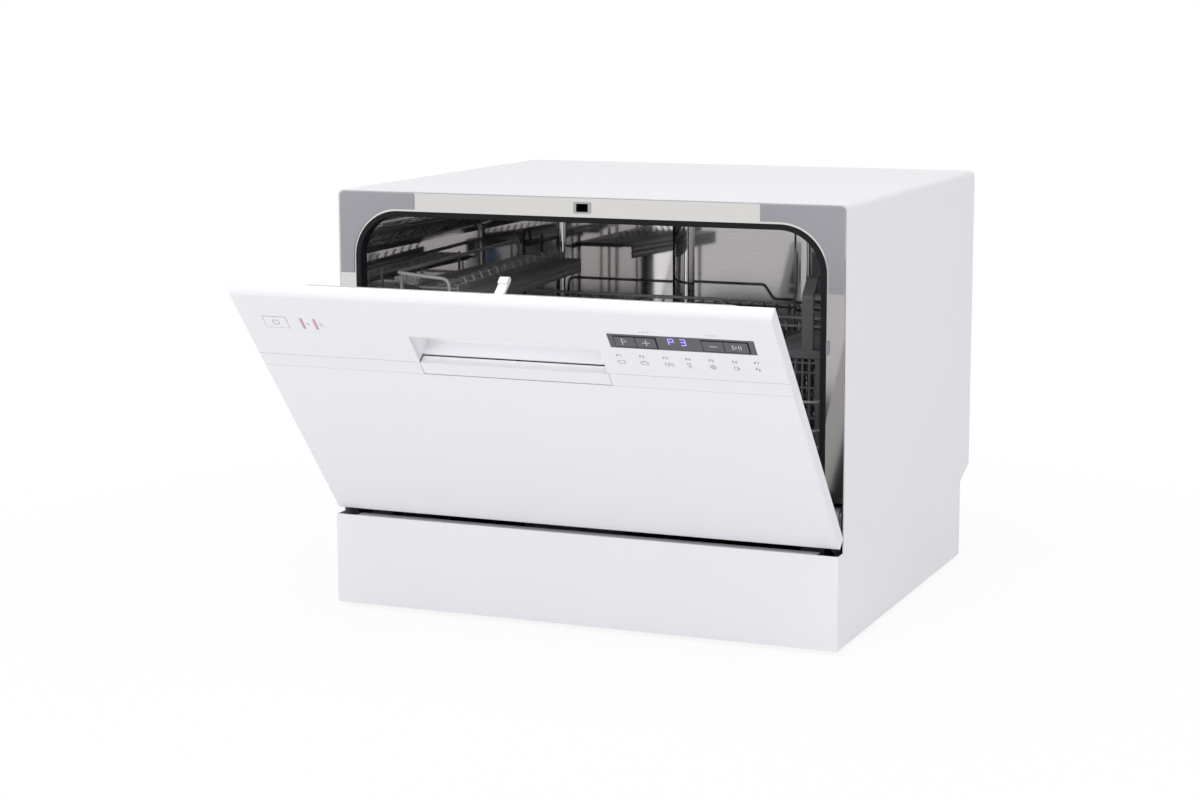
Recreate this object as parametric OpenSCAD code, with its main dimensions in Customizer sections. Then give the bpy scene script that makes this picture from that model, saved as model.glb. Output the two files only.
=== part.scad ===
/* [Casing] */
// Width over the painted side sheets
body_w = 550; // [530:1:620]
// Depth from the kick panel to the rear cover
body_d = 500; // [490:1:560]
// Height from the table to the top sheet
body_h = 438; // [430:1:470]
// Height of the rubber feet
foot_h = 4; // [2:0.5:12]
// Radius of a rubber foot
foot_r = 14; // [8:1:20]
// Thickness of the painted casing sheet
casing_t = 1; // [0.6:0.1:1.6]
// Radius of the bent edges along the top
casing_r = 6; // [3:0.5:12]
// Height of the kick panel's top edge
kick_top = 98.5; // [92:0.5:104]
// How far the lower rear is set back for the water fittings
rear_step = 37; // [20:1:45]
// Height at which the set-back of the rear ends
rear_step_z = 88; // [80:1:92]

/* [Door] */
// Angle at which the door stands open, from upright
door_rest = 40; // [0:1:60]
// Thickness of the door at its edges
door_t = 15; // [14:0.5:18]
// Gap between the kick panel and the closed door
door_lift = 11.5; // [10:0.5:14]
// Gap between the closed door's edge and the tub's front frame
door_gap = 2; // [1.6:0.1:3]
// Radius of the door's outer edges
door_r = 4; // [2:0.5:5]
// Height of the control panel moulding, down to its crease
panel_h = 103; // [100:1:110]
// Height from the crease up to the groove
groove_rise = 17; // [14:0.5:20]
// How far the inner liner stands into the tub
liner_deep = 46; // [40:1:48]
// Sheet thickness of the liner and the tub
inox_t = 1; // [0.6:0.1:1.4]

/* [Hinges] */
// Distance of the hinge axis behind the door's face
hinge_y = 10; // [8.5:0.5:12]
// Height of the hinge axis above the closed door's bottom edge
hinge_rise = 4; // [3:0.5:6]
// Radius of the hinge pins
hinge_pin_r = 4; // [3:0.5:5]
// Length of the hinge arm's tail, from pin to spring eye
tail_len = 34; // [28:1:38]
// Thickness of the hinge arms
arm_t = 3; // [2:0.5:4]
// Outer radius of the counterbalance springs
spring_r = 4.4; // [3:0.1:4.8]
// Wire diameter of the counterbalance springs
spring_wire = 1.4; // [1:0.1:1.8]
// Turns of each counterbalance spring
spring_turns = 13; // [8:1:16]

/* [Tub] */
// Width of the front frame at each side of the opening
side_rail = 20; // [17:0.5:28]
// Height of the front frame above the opening
top_rail = 20.5; // [18:0.5:30]
// Corner radius at the top of the opening
open_r = 48; // [30:1:60]
// Height of the sill and of the ledges the rack rolls on
sill_z = 152; // [148:0.5:158]
// Height of the tub's sunken floor
floor_z = 128; // [124:0.5:132]
// Width of the ledges along the tub's sides
ledge_w = 51; // [46:1:60]
// Space behind the tub for hoses
rear_space = 70; // [50:1:80]
// Width of the black rubber seal
seal_w = 5.5; // [4:0.5:7]

/* [Rack] */
// Space between the rack's rim wires and the opening, at each side
rack_space = 20; // [17:1:32]
// Depth of the rack over its rim wires
rack_d = 313; // [290:1:318]
// Height of the rim wire above the table
rim_z = 346; // [330:1:352]
// Distance from the kick panel to the rack's front when the door is shut
rack_home = 106; // [100:1:108]
// Distance the rack rolls out for each degree that the door drops
rack_rate = 1.1; // [0.8:0.05:1.2]
// Diameter of the rim wires
rim_wire = 4; // [3:0.5:5]
// Diameter of the grid wires
grid_wire = 3; // [2.5:0.25:3.5]
// Radius of the rack's rollers
roller_r = 14; // [11:0.5:15]
// Spacing of the plate tines
tine_pitch = 24; // [20:1:30]
// Width of the cup shelf, from its hinge wire to its comb
shelf_w = 60; // [50:1:66]
// Length of the cup shelf
shelf_len = 256; // [200:1:260]
// Spacing of the comb teeth on the cup shelf
comb_pitch = 21; // [16:1:30]

/* [Cutlery basket] */
// Width of the basket
basket_w = 70; // [60:1:76]
// Length of the basket, front to back
basket_l = 143; // [120:1:160]
// Height of the basket's rim above its floor
basket_h = 104; // [90:1:108]
// Height of the carrying arch above the rim
basket_arch = 76; // [60:1:84]

/* [Water parts] */
// Space between the spray arm's tip and the tub's ledges
spray_gap = 27; // [25:1:50]
// Radius of the filter well
well_r = 45; // [38:1:46]
// Outer radius of the water inlet's screw thread
inlet_r = 13.2; // [9:0.1:13.5]
// Outer radius of the drain spigot
drain_r = 10; // [8:0.5:12]

/* [Controls] */
// Width of the dark control window
window_w = 142; // [130:1:150]
// Height of the dark control window
window_h = 19; // [17:0.5:22]
// Width of the grip pocket
pocket_w = 195; // [160:1:200]
// Height of the grip pocket
pocket_h = 35; // [28:1:36]
// Depth of the grip pocket
pocket_deep = 26; // [20:1:28]
// How far a button travels
button_travel = 1.5; // [1:0.1:2]

/* [Hidden] */
$fn = 48;

white = [0.89, 0.89, 0.91];
steel = [0.80, 0.79, 0.77];
chrome = [0.86, 0.86, 0.88];
zinc = [0.66, 0.68, 0.68];
pad_grey = [0.63, 0.64, 0.67];
rubber = [0.13, 0.13, 0.14];
dark_plastic = [0.30, 0.31, 0.33];
window_grey = [0.38, 0.38, 0.41];
wire_grey = [0.60, 0.60, 0.62];
pump_grey = [0.45, 0.46, 0.48];
pale_plastic = [0.82, 0.83, 0.84];
pcb_green = [0.15, 0.36, 0.22];
light_red = [0.86, 0.45, 0.47];
cap_blue = [0.30, 0.42, 0.62];
stop_green = [0.48, 0.53, 0.48];
tiny = 0.3;
past = 1;

// Casing and door places, from the kick panel's front and the table
half_w = body_w / 2;
side_in = half_w - casing_t;
frame_y = door_t + door_gap;
frame_back = frame_y + inox_t;
frame_half = side_in - tiny;
frame_top = body_h - casing_t - tiny;
door_bottom = kick_top + door_lift;
hinge_z = door_bottom + hinge_rise;
crease_z = body_h - panel_h;
groove_z = crease_z + groove_rise;
rear_low = body_d - rear_step;
kick_t = 1.5;

// The origin is under the middle of the whole object as it stands, door open
corner_up = body_h - door_r - hinge_z;
tip_y = hinge_y + (door_r - hinge_y) * cos(door_rest) - corner_up * sin(door_rest) - door_r;
front_y = -(body_d + min(tip_y, 0)) / 2;

// Tub places
open_half = half_w - side_rail;
open_top = body_h - top_rail;
tub_half = open_half + 1;
tub_top = open_top + 1;
tub_back_y = body_d - rear_space;
ledge_in = tub_half - ledge_w;
pan_half = ledge_in - 15;
pan_front = frame_back + 14;
pan_rear = tub_back_y - 14;
liner_half = open_half - 15;
liner_low = sill_z + 6;
liner_top = open_top - 13.5;
slot_z = open_top + 9.5;
hinge_x = open_half + 6;
arm_x = hinge_x + 2.5;

// Tray and places of the water parts
tray_half = side_in - 1;
tray_wall = 2.2;
tray_floor = 2.5;
tray_z = foot_h + tray_floor;
foot_x = half_w - 37;
foot_front = 45;
foot_rear = rear_low - 55;
post_half = 12;
well_x = ledge_in - 100;
spray_len = ledge_in - spray_gap;
well_y = tub_back_y - 105;
hub_y = (frame_back + tub_back_y) / 2;
softener_x = 80 - ledge_in;
softener_y = well_y + 5;
fittings_z = 48;
inlet_x = 85 - half_w;
drain_x = half_w - 90;
cord_x = half_w - 40;

// Hinge tail and spring, at rest
tail_shut = -78;
tail_angle = tail_shut + door_rest;
eye_y = hinge_y + tail_len * cos(tail_angle);
eye_z = hinge_z + tail_len * sin(tail_angle);
eye_r = 2.4;
tail_r = 6;
lug_z = tray_z + 9;
hook_r = 3.6;
stop_r = 9;
stop_pin_r = 3;
stop_out = tail_len * 0.55;
tail_open = tail_shut + 90;
stop_y = hinge_y + stop_out;
stop_z = hinge_z + tan(tail_open) * stop_out + 5 / cos(tail_open) + 0.4 + stop_r;

// Rack places, at rest
rack_y = rack_home - rack_rate * door_rest;
rack_half = open_half - rack_space;
rack_floor = sill_z + 20;
roller_z = sill_z + tiny + roller_r;
roller_x = rack_half - 8;
roller_front = rack_y + 48;
roller_rear = rack_y + rack_d - 45;
shelf_z = rim_z - 12;
shelf_y = rack_y + 30;
shelf_x = -rack_half + rim_wire + 6;
basket_x = rack_half - rim_wire - 5 - basket_w / 2;
basket_y = rack_y + 33;
basket_foot = rack_floor + 1.9 * grid_wire * cos(22.5) + tiny;
basket_z = max(basket_foot + 1, roller_z + roller_r + 0.5);

// Control places, on the closed door
window_x = half_w - 94;
window_z = body_h - 39.5;
window_deep = 2;
button_z = window_z - 1.2;
button_h = 13.5;
key_w = 20;
start_w = 23;
power_x = 37.5 - half_w;
power_w = 25;
power_h = 15;
power_z = window_z;
pocket_x = -0.5;
pocket_low = groove_z + 1.2;
wall = 2.2;
grip_deep = 9;
grip_pivot_y = 6.5;
grip_pivot_z = crease_z + 4.5;
hook_pivot_y = 6.5;
hook_pivot_z = slot_z - 1;
push_y = hook_pivot_y + 5.7;
link_y = 34;
dispenser_x = -20;
dispenser_z = min((liner_low + liner_top) / 2, grip_pivot_z - 58.5);

module from_front() {
    translate([0, front_y, 0]) children();
}

module on_door() {
    from_front() translate([0, hinge_y, hinge_z]) rotate([door_rest, 0, 0])
        translate([0, -hinge_y, -hinge_z]) children();
}

// An outline in x and z, drawn out along y
module along_y(y0, y1) {
    translate([0, y1, 0]) rotate([90, 0, 0]) linear_extrude(y1 - y0) children();
}

// An outline in y and z, drawn out along x
module along_x(x0, x1) {
    translate([x0, 0, 0]) rotate([90, 0, 90]) linear_extrude(x1 - x0) children();
}

module box(x0, x1, y0, y1, z0, z1) {
    translate([x0, y0, z0]) cube([x1 - x0, y1 - y0, z1 - z0]);
}

module rod_x(x0, x1, y, z, r) {
    translate([x0, y, z]) rotate([0, 90, 0]) cylinder(r = r, h = x1 - x0);
}

module rod_y(x, y0, y1, z, r) {
    translate([x, y0, z]) rotate([-90, 0, 0]) cylinder(r = r, h = y1 - y0);
}

module rod_z(x, y, z0, z1, r) {
    translate([x, y, z0]) cylinder(r = r, h = z1 - z0);
}

// A rectangle between two corners, with round corners
module round_rect(x0, x1, z0, z1, r) {
    translate([x0 + r, z0]) square([x1 - x0 - 2 * r, z1 - z0]);
    translate([x0, z0 + r]) square([x1 - x0, z1 - z0 - 2 * r]);
    for (x = [x0 + r, x1 - r], z = [z0 + r, z1 - r]) translate([x, z]) circle(r);
}

// A rectangle whose two upper corners are round
module arch_rect(half, z0, z1, r) {
    translate([-half, z0]) square([2 * half, z1 - r - z0]);
    translate([r - half, z0]) square([2 * (half - r), z1 - z0]);
    for (x = [r - half, half - r]) translate([x, z1 - r]) circle(r);
}

// The casing's side and top sheet: one bent sheet, notched where the door and the rear step are
module casing_wrap() {
    color(white) from_front() difference() {
        along_y(kick_t, body_d) difference() {
            arch_rect(half_w, foot_h, body_h, casing_r);
            arch_rect(side_in, foot_h - past, body_h - casing_t, casing_r - casing_t);
        }
        box(-half_w - past, half_w + past, 0, frame_y, kick_top, body_h + past);
        along_x(-half_w - past, half_w + past) polygon([
            [rear_low, foot_h - past], [rear_low, rear_step_z], [body_d, rear_step_z + 14.5],
            [body_d + past, rear_step_z + 14.5], [body_d + past, foot_h - past]
        ]);
    }
}

// The rear cover: a bent sheet with two pressed fields and holes for the water fittings
module rear_cover() {
    x = side_in - tiny;
    t = casing_t;
    color(zinc) from_front() intersection() {
        along_y(0, body_d) arch_rect(x, foot_h, frame_top, casing_r - casing_t - tiny);
        cover_sheet(x, t);
    }
}

module cover_sheet(x, t) {
    difference() {
        union() {
            along_x(-x, x) polygon([
                [body_d, frame_top], [body_d, rear_step_z + 14.5], [rear_low, rear_step_z],
                [rear_low, foot_h], [rear_low - t, foot_h], [rear_low - t, rear_step_z + 0.7 * t],
                [body_d - t, rear_step_z + 14.5 + 0.7 * t], [body_d - t, frame_top]
            ]);
            for (s = [-1, 1]) along_y(body_d - 4 - t, body_d - t)
                round_rect(s * x / 2 - 105, s * x / 2 + 105, rear_step_z + 50, body_h - 50, 20);
        }
        for (s = [-1, 1]) along_y(body_d - 4, body_d + past)
            round_rect(s * x / 2 - 104, s * x / 2 + 104, rear_step_z + 51, body_h - 51, 19);
        rod_y(inlet_x, rear_low - 3, rear_low + past, fittings_z, inlet_r + 6);
        rod_y(drain_x, rear_low - 3, rear_low + past, fittings_z, drain_r + 5);
        rod_y(cord_x, rear_low - 3, rear_low + past, fittings_z, 8.2);
    }
}

module kick_panel() {
    color(white) from_front() difference() {
        union() {
            along_y(0, kick_t) round_rect(-half_w, half_w, foot_h, kick_top, 1);
            box(-open_half + 3, open_half - 3, kick_t, door_t - 1, kick_top - 1.2, kick_top);
        }
        box(-open_half + 8, open_half - 8, kick_t - 0.5, kick_t + past, foot_h + 6, kick_top - 6);
    }
}

// The moulded base tray: floor, low walls, ribs, tub posts, pump saddle and spring lugs
module base_tray() {
    y0 = kick_t;
    y1 = rear_low - casing_t;
    color(dark_plastic) from_front() difference() {
        union() {
            box(-tray_half, tray_half, y0, y1, foot_h, tray_z);
            for (s = [-1, 1]) box(min(s * tray_half, s * (tray_half - tray_wall)),
                max(s * tray_half, s * (tray_half - tray_wall)), y0, y1, foot_h, 40);
            box(-tray_half, tray_half, y0, y0 + tray_wall, foot_h, 60);
            box(-tray_half, tray_half, y1 - tray_wall, y1, foot_h, fittings_z - inlet_r - 8);
            for (k = [-4 : 4]) let (x = k * (tray_half - 73) / 4)
                box(x - 1, x + 1, y0 + tray_wall, y1 - tray_wall, tray_z, tray_z + 6);
            for (x = [-foot_x, foot_x], y = [foot_front, foot_rear])
                box(x - post_half, x + post_half, y - post_half, y + post_half, tray_z, sill_z - inox_t);
            for (f = [0.595, 0.26]) pump_saddle(pump_x - f * pump_l);
            for (s = [-1, 1]) spring_lug(s * arm_x);
            softener_seat();
            drain_seat();
            inlet_seat();
        }
        for (x = [-foot_x, foot_x], y = [foot_front, foot_rear]) rod_z(x, y, foot_h - past, tray_z + 4, 5.2);
        for (s = [-1, 1]) rod_x(s * arm_x - 3, s * arm_x + 3, eye_y, lug_z, eye_r);
    }
}

// A saddle under the wash pump, with its top hollowed to the pump's round
module pump_saddle(x) {
    difference() {
        box(x - 4, x + 4, well_y - 30, well_y + 30, tray_z, pump_z - 8);
        rod_x(x - 5, x + 5, well_y, pump_z, pump_r + tiny);
    }
}

module spring_lug(x) {
    box(x - arm_t / 2, x + arm_t / 2, eye_y - 6, eye_y + 6, tray_z, lug_z);
    rod_x(x - arm_t / 2, x + arm_t / 2, eye_y, lug_z, 6);
}

module softener_seat() {
    for (s = [-1, 1]) box(softener_x + s * 50 - 3, softener_x + s * 50 + 3, softener_y - 40, softener_y + 40,
        tray_z, tray_z + 12);
}

module drain_seat() {
    box(drain_x - 12, drain_x + 12, rear_low - 50, rear_low - 40, tray_z, fittings_z - 24);
}

module inlet_seat() {
    box(inlet_x - 12, inlet_x + 12, rear_low - 34, rear_low - 24, tray_z, fittings_z - 18);
}

// Four rubber feet with pegs in the tray
module feet() {
    color(rubber) from_front() for (x = [-foot_x, foot_x], y = [foot_front, foot_rear]) {
        rod_z(x, y, 0, foot_h, foot_r);
        rod_z(x, y, foot_h - 0.5, foot_h + 4, 5);
    }
}

// The opening of the tub, grown by g
module opening_shape(g) {
    arch_rect(open_half + g, sill_z - g, open_top + g, open_r + g);
}

// The stainless frame round the tub's mouth, notched below for the hinges
module front_frame() {
    color(steel) from_front() difference() {
        along_y(frame_y, frame_back) difference() {
            arch_rect(frame_half, floor_z - 8, frame_top, casing_r - casing_t - tiny);
            opening_shape(0);
            round_rect(-8.4, 8.4, slot_z - 5.4, slot_z + 5.4, 1.5);
        }
        for (x = [1.5 - arm_x, arm_x - 1.5])
            box(x - 12, x + 12, 0, frame_back + past, floor_z - 9, sill_z - 4.4);
    }
}

// The grey pads that cover the frame's upper corners, and the small clip lower down on the right
module frame_pads() {
    pad_in = open_half - 68;
    color(pad_grey) from_front() union() {
        along_y(frame_y - 0.8, frame_y) difference() {
            arch_rect(frame_half - 1, body_h - 86, frame_top - 0.5, casing_r - casing_t - tiny);
            translate([-pad_in, body_h - 90]) square([2 * pad_in, 100]);
            opening_shape(2);
        }
        along_y(frame_y - 2, frame_y)
            round_rect(open_half + 0.4, open_half + 3.4, sill_z + 141, sill_z + 155, 1.4);
    }
}

// The black rubber seals: one round the sides and top of the tub's mouth, one along the sill
module door_seal() {
    color(rubber) from_front() union() {
        along_y(door_t + 0.6, frame_back + 12) difference() {
            opening_shape(-0.25);
            opening_shape(-seal_w);
            translate([-body_w, 0]) square([2 * body_w, sill_z + 4]);
        }
        along_y(frame_back + 4, frame_back + 7) difference() {
            opening_shape(0.7);
            opening_shape(-0.4);
            translate([-body_w, 0]) square([2 * body_w, sill_z + 4]);
        }
        box(-open_half + 2, open_half - 2, frame_y - 0.8, frame_y, floor_z - 4, sill_z - 5);
        rod_x(-open_half + 2, open_half - 2, frame_y - 0.8, sill_z - 7, 0.6);
    }
}

// The chrome bezel round the latch slot, with its sleeve through the frame
module strike_plate() {
    color(chrome) from_front() difference() {
        union() {
            along_y(frame_y - 0.7, frame_y) round_rect(-9.5, 9.5, slot_z - 5.8, slot_z + 5.8, 2);
            along_y(frame_y - 0.7, frame_back + 3) round_rect(-8.2, 8.2, slot_z - 5.2, slot_z + 5.2, 1.5);
        }
        along_y(frame_y - past, frame_back + 4) round_rect(-6.3, 6.3, slot_z - 4.1, slot_z + 4.1, 0.8);
    }
}

// The catch box behind the slot, which rests on the tub and holds the door switch
module latch_catch() {
    color(dark_plastic) from_front() difference() {
        box(-20, 20, frame_back, 64, tub_top + inox_t, frame_top - 0.2);
        box(-9.5, 9.5, frame_back - past, 58, slot_z - 5.3, slot_z + 5.6);
        box(-7, 7, 30, 58, tub_top + inox_t + 0.8, slot_z);
    }
}

// Sides and top of the stainless tub, bent from one sheet
module tub_wrap() {
    color(steel) from_front() along_y(frame_back, tub_back_y) difference() {
        arch_rect(tub_half + inox_t, sill_z - 12, tub_top + inox_t, open_r + 1 + inox_t);
        arch_rect(tub_half, sill_z - 13, tub_top, open_r + 1);
    }
}

// The tub's rear wall, with a pressed field between two upright beads
module tub_back() {
    t = inox_t;
    color(steel) from_front() difference() {
        union() {
            along_y(tub_back_y, tub_back_y + t)
                arch_rect(tub_half + t, sill_z - 12, tub_top + t, open_r + 1 + t);
            along_y(tub_back_y - 3, tub_back_y + t) bead_outline(9);
            along_y(tub_back_y, tub_back_y + 6) round_rect(-46, 76, sill_z + 20, tub_top - 18, 12);
        }
        along_y(tub_back_y - 3 + t, tub_back_y + t + past) bead_outline(9 - t);
        along_y(tub_back_y - 4, tub_back_y + 6 - t) round_rect(-45, 75, sill_z + 21, tub_top - 19, 11);
    }
}

module bead_outline(r) {
    for (x = [-62, 92]) round_rect(x - r, x + r, sill_z + 20 + 9 - r, tub_top - 27 + r, r - 0.5);
}

// The pressed tub floor: ledges for the rollers, a sunken pan and the holes for what passes through
module tub_floor() {
    t = inox_t;
    color(steel) from_front() difference() {
        box(-tub_half, tub_half, frame_back, tub_back_y, floor_z - t, sill_z);
        along_x(-pan_half, pan_half) pan_section(0);
        along_y(pan_front, pan_rear) polygon([
            [-ledge_in, sill_z + past], [-ledge_in, sill_z], [-pan_half, floor_z], [pan_half, floor_z],
            [ledge_in, sill_z], [ledge_in, sill_z + past]
        ]);
        under_ledges();
        rod_z(well_x, well_y, floor_z - 5, floor_z + past, well_r + 1);
        rod_z(0, hub_y, floor_z - 5, floor_z + past, 13);
        rod_z(softener_x, softener_y, floor_z - 5, floor_z + past, 31);
        rod_z(float_x, float_y, floor_z - 5, floor_z + past, 9);
    }
}

// The pan's section from front to back
module pan_section(g) {
    polygon([
        [pan_front - 10 - g, sill_z + past], [pan_front - 10 - g, sill_z], [pan_front + 4 - g, floor_z - g],
        [pan_rear - 4 + g, floor_z - g], [pan_rear + 10 + g, sill_z], [pan_rear + 10 + g, sill_z + past]
    ]);
}

// Takes the metal away under the ledges, so that the floor is a sheet
module under_ledges() {
    t = inox_t;
    low = floor_z - t - past;
    for (s = [-1, 1]) along_y(frame_back - past, tub_back_y + past) polygon([
        [s * (tub_half + past), low], [s * (tub_half + past), sill_z - t], [s * (ledge_in + t), sill_z - t],
        [s * (pan_half + 1.5 * t), floor_z - t], [s * (pan_half + 1.5 * t), low]
    ]);
    for (y = [[frame_back - past, pan_front - 10 - 1.5 * t], [pan_rear + 10 + 1.5 * t, tub_back_y + past]])
        box(-pan_half, pan_half, y[0], y[1], low, sill_z - t);
}

// Places and sizes of the pumps
pump_x = well_x - well_r - 5;
pump_l = pump_x - softener_x - 64;
pump_r = 34;
pump_z = tray_z + 45;
float_x = ledge_in - 40;
float_y = frame_back + 50;

// The sump under the filter well: a cup with a foot and a duct to the spray hub
module sump() {
    low = 62;
    color(pump_grey) from_front() difference() {
        union() {
            rod_z(well_x, well_y, low, floor_z - inox_t, well_r + 3.5);
            rod_z(well_x, well_y, tray_z + 6 + tiny, low + past, 12);
            sump_duct(9, 0);
        }
        rod_z(well_x, well_y, low + 3, floor_z, well_r);
        rod_z(0, hub_y, floor_z - 30, floor_z + past, 10.1);
    }
}

module sump_duct(r, g) {
    dx = well_x;
    dy = well_y - hub_y;
    translate([0, hub_y, floor_z - 16]) rotate([0, 0, atan2(dy, dx)]) {
        rotate([0, 90, 0]) cylinder(r = r, h = sqrt(dx * dx + dy * dy) - well_r);
    }
    rod_z(0, hub_y, floor_z - 28, floor_z - inox_t, 13);
}

// The flat strainer round the well, with rows of holes
module filter_plate() {
    color(steel) from_front() difference() {
        along_z_plate(well_x - 72, well_x + 72, well_y - 72, well_y + 66, floor_z + tiny, floor_z + 1.5, 16);
        rod_z(well_x, well_y, floor_z - past, floor_z + 3, well_r - 2.5);
        for (a = [0 : 12 : 348], r = [well_r + 5, well_r + 12]) rod_z(well_x + r * cos(a + r),
            well_y + r * sin(a + r), floor_z - past, floor_z + 3, 1.6);
    }
}

module along_z_plate(x0, x1, y0, y1, z0, z1, r) {
    translate([0, 0, z0]) linear_extrude(z1 - z0) round_rect(x0, x1, y0, y1, r);
}

// The cup filter, which locks with a short turn of its ribbed crown
module filter_cup() {
    r = well_r - 4;
    color(dark_plastic) from_front() difference() {
        union() {
            rod_z(well_x, well_y, 70, floor_z + 2, r);
            rod_z(well_x, well_y, floor_z + 1.8, floor_z + 4, well_r);
            for (a = [0 : 60 : 300]) translate([well_x, well_y, floor_z + 2]) rotate([0, 0, a])
                translate([14, -1.5, 0]) cube([well_r - 18, 3, 7]);
            rod_z(well_x, well_y, floor_z + 1.8, floor_z + 9, 15);
        }
        rod_z(well_x, well_y, 72, floor_z - 1, r - 2);
        for (a = [0 : 30 : 330]) translate([well_x, well_y, 78]) rotate([0, 0, a])
            translate([r - 4, -3.5, 0]) cube([8, 7, 42]);
    }
}

// The post that carries the spray arm and feeds it with water
module spray_hub() {
    color(dark_plastic) from_front() difference() {
        union() {
            rod_z(0, hub_y, floor_z - 27, floor_z + 9, 10);
            rod_z(0, hub_y, floor_z + tiny, floor_z + 4, 17);
            rod_z(0, hub_y, floor_z + 8, floor_z + 20, 7);
        }
        rod_z(0, hub_y, floor_z - 28, floor_z + 21, 4.5);
    }
}

// The spray arm: a flat hollow blade with nozzles and a hub that turns on the post
module spray_arm() {
    z0 = floor_z + 10;
    jet_pitch = (spray_len - 77) / 4;
    color(pump_grey) from_front() translate([0, hub_y, 0]) rotate([0, 0, 28]) difference() {
        union() {
            translate([0, 0, z0]) linear_extrude(10) arm_outline(0);
            rod_z(0, 0, z0, z0 + 14, 20);
            for (s = [-1, 1], k = [0 : 4]) rod_z(s * (45 + jet_pitch * k), s * 4, z0 + 9, z0 + 11.5, 3.4);
        }
        rod_z(0, 0, z0 - past, z0 + 11.5, 7.1);
        for (s = [-1, 1], k = [0 : 4]) rod_z(s * (45 + jet_pitch * k), s * 4, z0 + 3, z0 + 13, 1.5);
    }
}

module arm_outline(g) {
    polygon([
        [-spray_len + 13, -13], [-30, -20], [30, -20], [spray_len - 13, -13],
        [spray_len - 13, 13], [30, 20], [-30, 20], [-spray_len + 13, 13]
    ]);
    for (s = [-1, 1]) translate([s * (spray_len - 13), 0]) circle(13);
}

module salt_cap() {
    color(cap_blue) from_front() difference() {
        union() {
            rod_z(softener_x, softener_y, floor_z + tiny, floor_z + 5, 36);
            rod_z(softener_x, softener_y, floor_z + 4, floor_z + 9, 26);
            rod_z(softener_x, softener_y, floor_z - 16, floor_z + past, 27.5);
        }
        for (s = [-1, 1]) translate([softener_x + s * 11, softener_y - 14, floor_z + 5]) cube([8, 28, 5],
            center = false);
        rod_z(softener_x, softener_y, floor_z - 17, floor_z - 3, 24);
    }
}

// The softener's tank, with the neck that comes up through the tub floor
module water_softener() {
    color(pale_plastic) from_front() difference() {
        union() {
            along_z_plate(softener_x - 62, softener_x + 62, softener_y - 60, softener_y + 55, tray_z + 12, 96, 14);
            rod_z(softener_x, softener_y, 95, floor_z - inox_t, 34);
            rod_z(softener_x, softener_y, floor_z - 2, floor_z, 30.5);
        }
        rod_z(softener_x, softener_y, 60, floor_z + past, 28);
    }
}

// The float of the overfill switch, free to rise in its guide
module float() {
    color(pale_plastic) from_front() union() {
        rod_z(float_x, float_y, floor_z + tiny, floor_z + 13, 14);
        rod_z(float_x, float_y, floor_z - 22, floor_z + 1, 4);
        translate([float_x, float_y, floor_z + 8]) cylinder(r1 = 14, r2 = 9, h = 9);
    }
}

// The wash pump: motor, can and the flow heater's collar, laid across the tray
module wash_pump() {
    color(pump_grey) from_front() union() {
        rod_x(pump_x - pump_l + 6, pump_x - 0.4 * pump_l, well_y, pump_z, pump_r - 5);
        rod_x(pump_x - 0.41 * pump_l, pump_x - 12, well_y, pump_z, pump_r);
        rod_x(pump_x - 0.67 * pump_l, pump_x - 0.52 * pump_l, well_y, pump_z, pump_r);
        rod_x(pump_x - 13, pump_x + 1, well_y, pump_z + 22, 11);
        rod_x(pump_x - pump_l, pump_x - pump_l + 8, well_y, pump_z, 9);
    }
}

// The drain pump, from the sump's foot to the spigot at the rear
module drain_pump() {
    y0 = rear_low - 68;
    color(pump_grey) from_front() difference() {
        union() {
            rod_y(drain_x, y0, rear_low - 26, fittings_z, 22);
            rod_y(drain_x, y0 - 24, y0 + past, fittings_z, 16);
            rod_y(drain_x, rear_low - 27, rear_low + 20, fittings_z, drain_r);
            rod_y(drain_x, rear_low - 2, rear_low + 1, fittings_z, drain_r + 4);
            box(drain_x - 12, drain_x + 12, y0 + 19, y0 + 27, fittings_z - 24, fittings_z);
        }
        rod_y(drain_x, rear_low - 30, rear_low + 21, fittings_z, drain_r - 2.5);
    }
}

// The inlet valve: coil, body and the threaded nose for the water hose
module inlet_valve() {
    color(pale_plastic) from_front() difference() {
        union() {
            rod_y(inlet_x, rear_low - 6, rear_low + 15, fittings_z, inlet_r);
            rod_y(inlet_x, rear_low - 8, rear_low + 1, fittings_z, inlet_r + 5);
            box(inlet_x - 18, inlet_x + 18, rear_low - 34, rear_low - 7, fittings_z - 18, fittings_z + 18);
            box(inlet_x - 14, inlet_x + 14, rear_low - 60, rear_low - 33, fittings_z - 14, fittings_z + 22);
            rod_z(inlet_x, rear_low - 20, fittings_z + 17, fittings_z + 36, 5);
        }
        rod_y(inlet_x, rear_low - 12, rear_low + 16, fittings_z, inlet_r - 3.5);
    }
}

// The air break: a flat moulded water way between the tub's side and the casing
module air_break() {
    x0 = -side_in + 1.2;
    x1 = -tub_half - inox_t - tiny;
    color(pale_plastic) from_front() difference() {
        along_x(x0, x1) round_rect(140, 330, sill_z + 12, sill_z + 200, 12);
        for (k = [0 : 2]) along_x(x0 - past, x1 - 2)
            round_rect(152 + 60 * k, 200 + 60 * k, sill_z + 24, sill_z + 188, 8);
    }
}

module cord_gland() {
    color(rubber) from_front() difference() {
        union() {
            rod_y(cord_x, rear_low - 6, rear_low + 8, fittings_z, 8);
            rod_y(cord_x, rear_low + tiny, rear_low + 3, fittings_z, 11);
            rod_y(cord_x, rear_low - 6, rear_low - casing_t - tiny, fittings_z, 10);
        }
        rod_y(cord_x, rear_low - 7, rear_low + 9, fittings_z, 3.6);
    }
}

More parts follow.
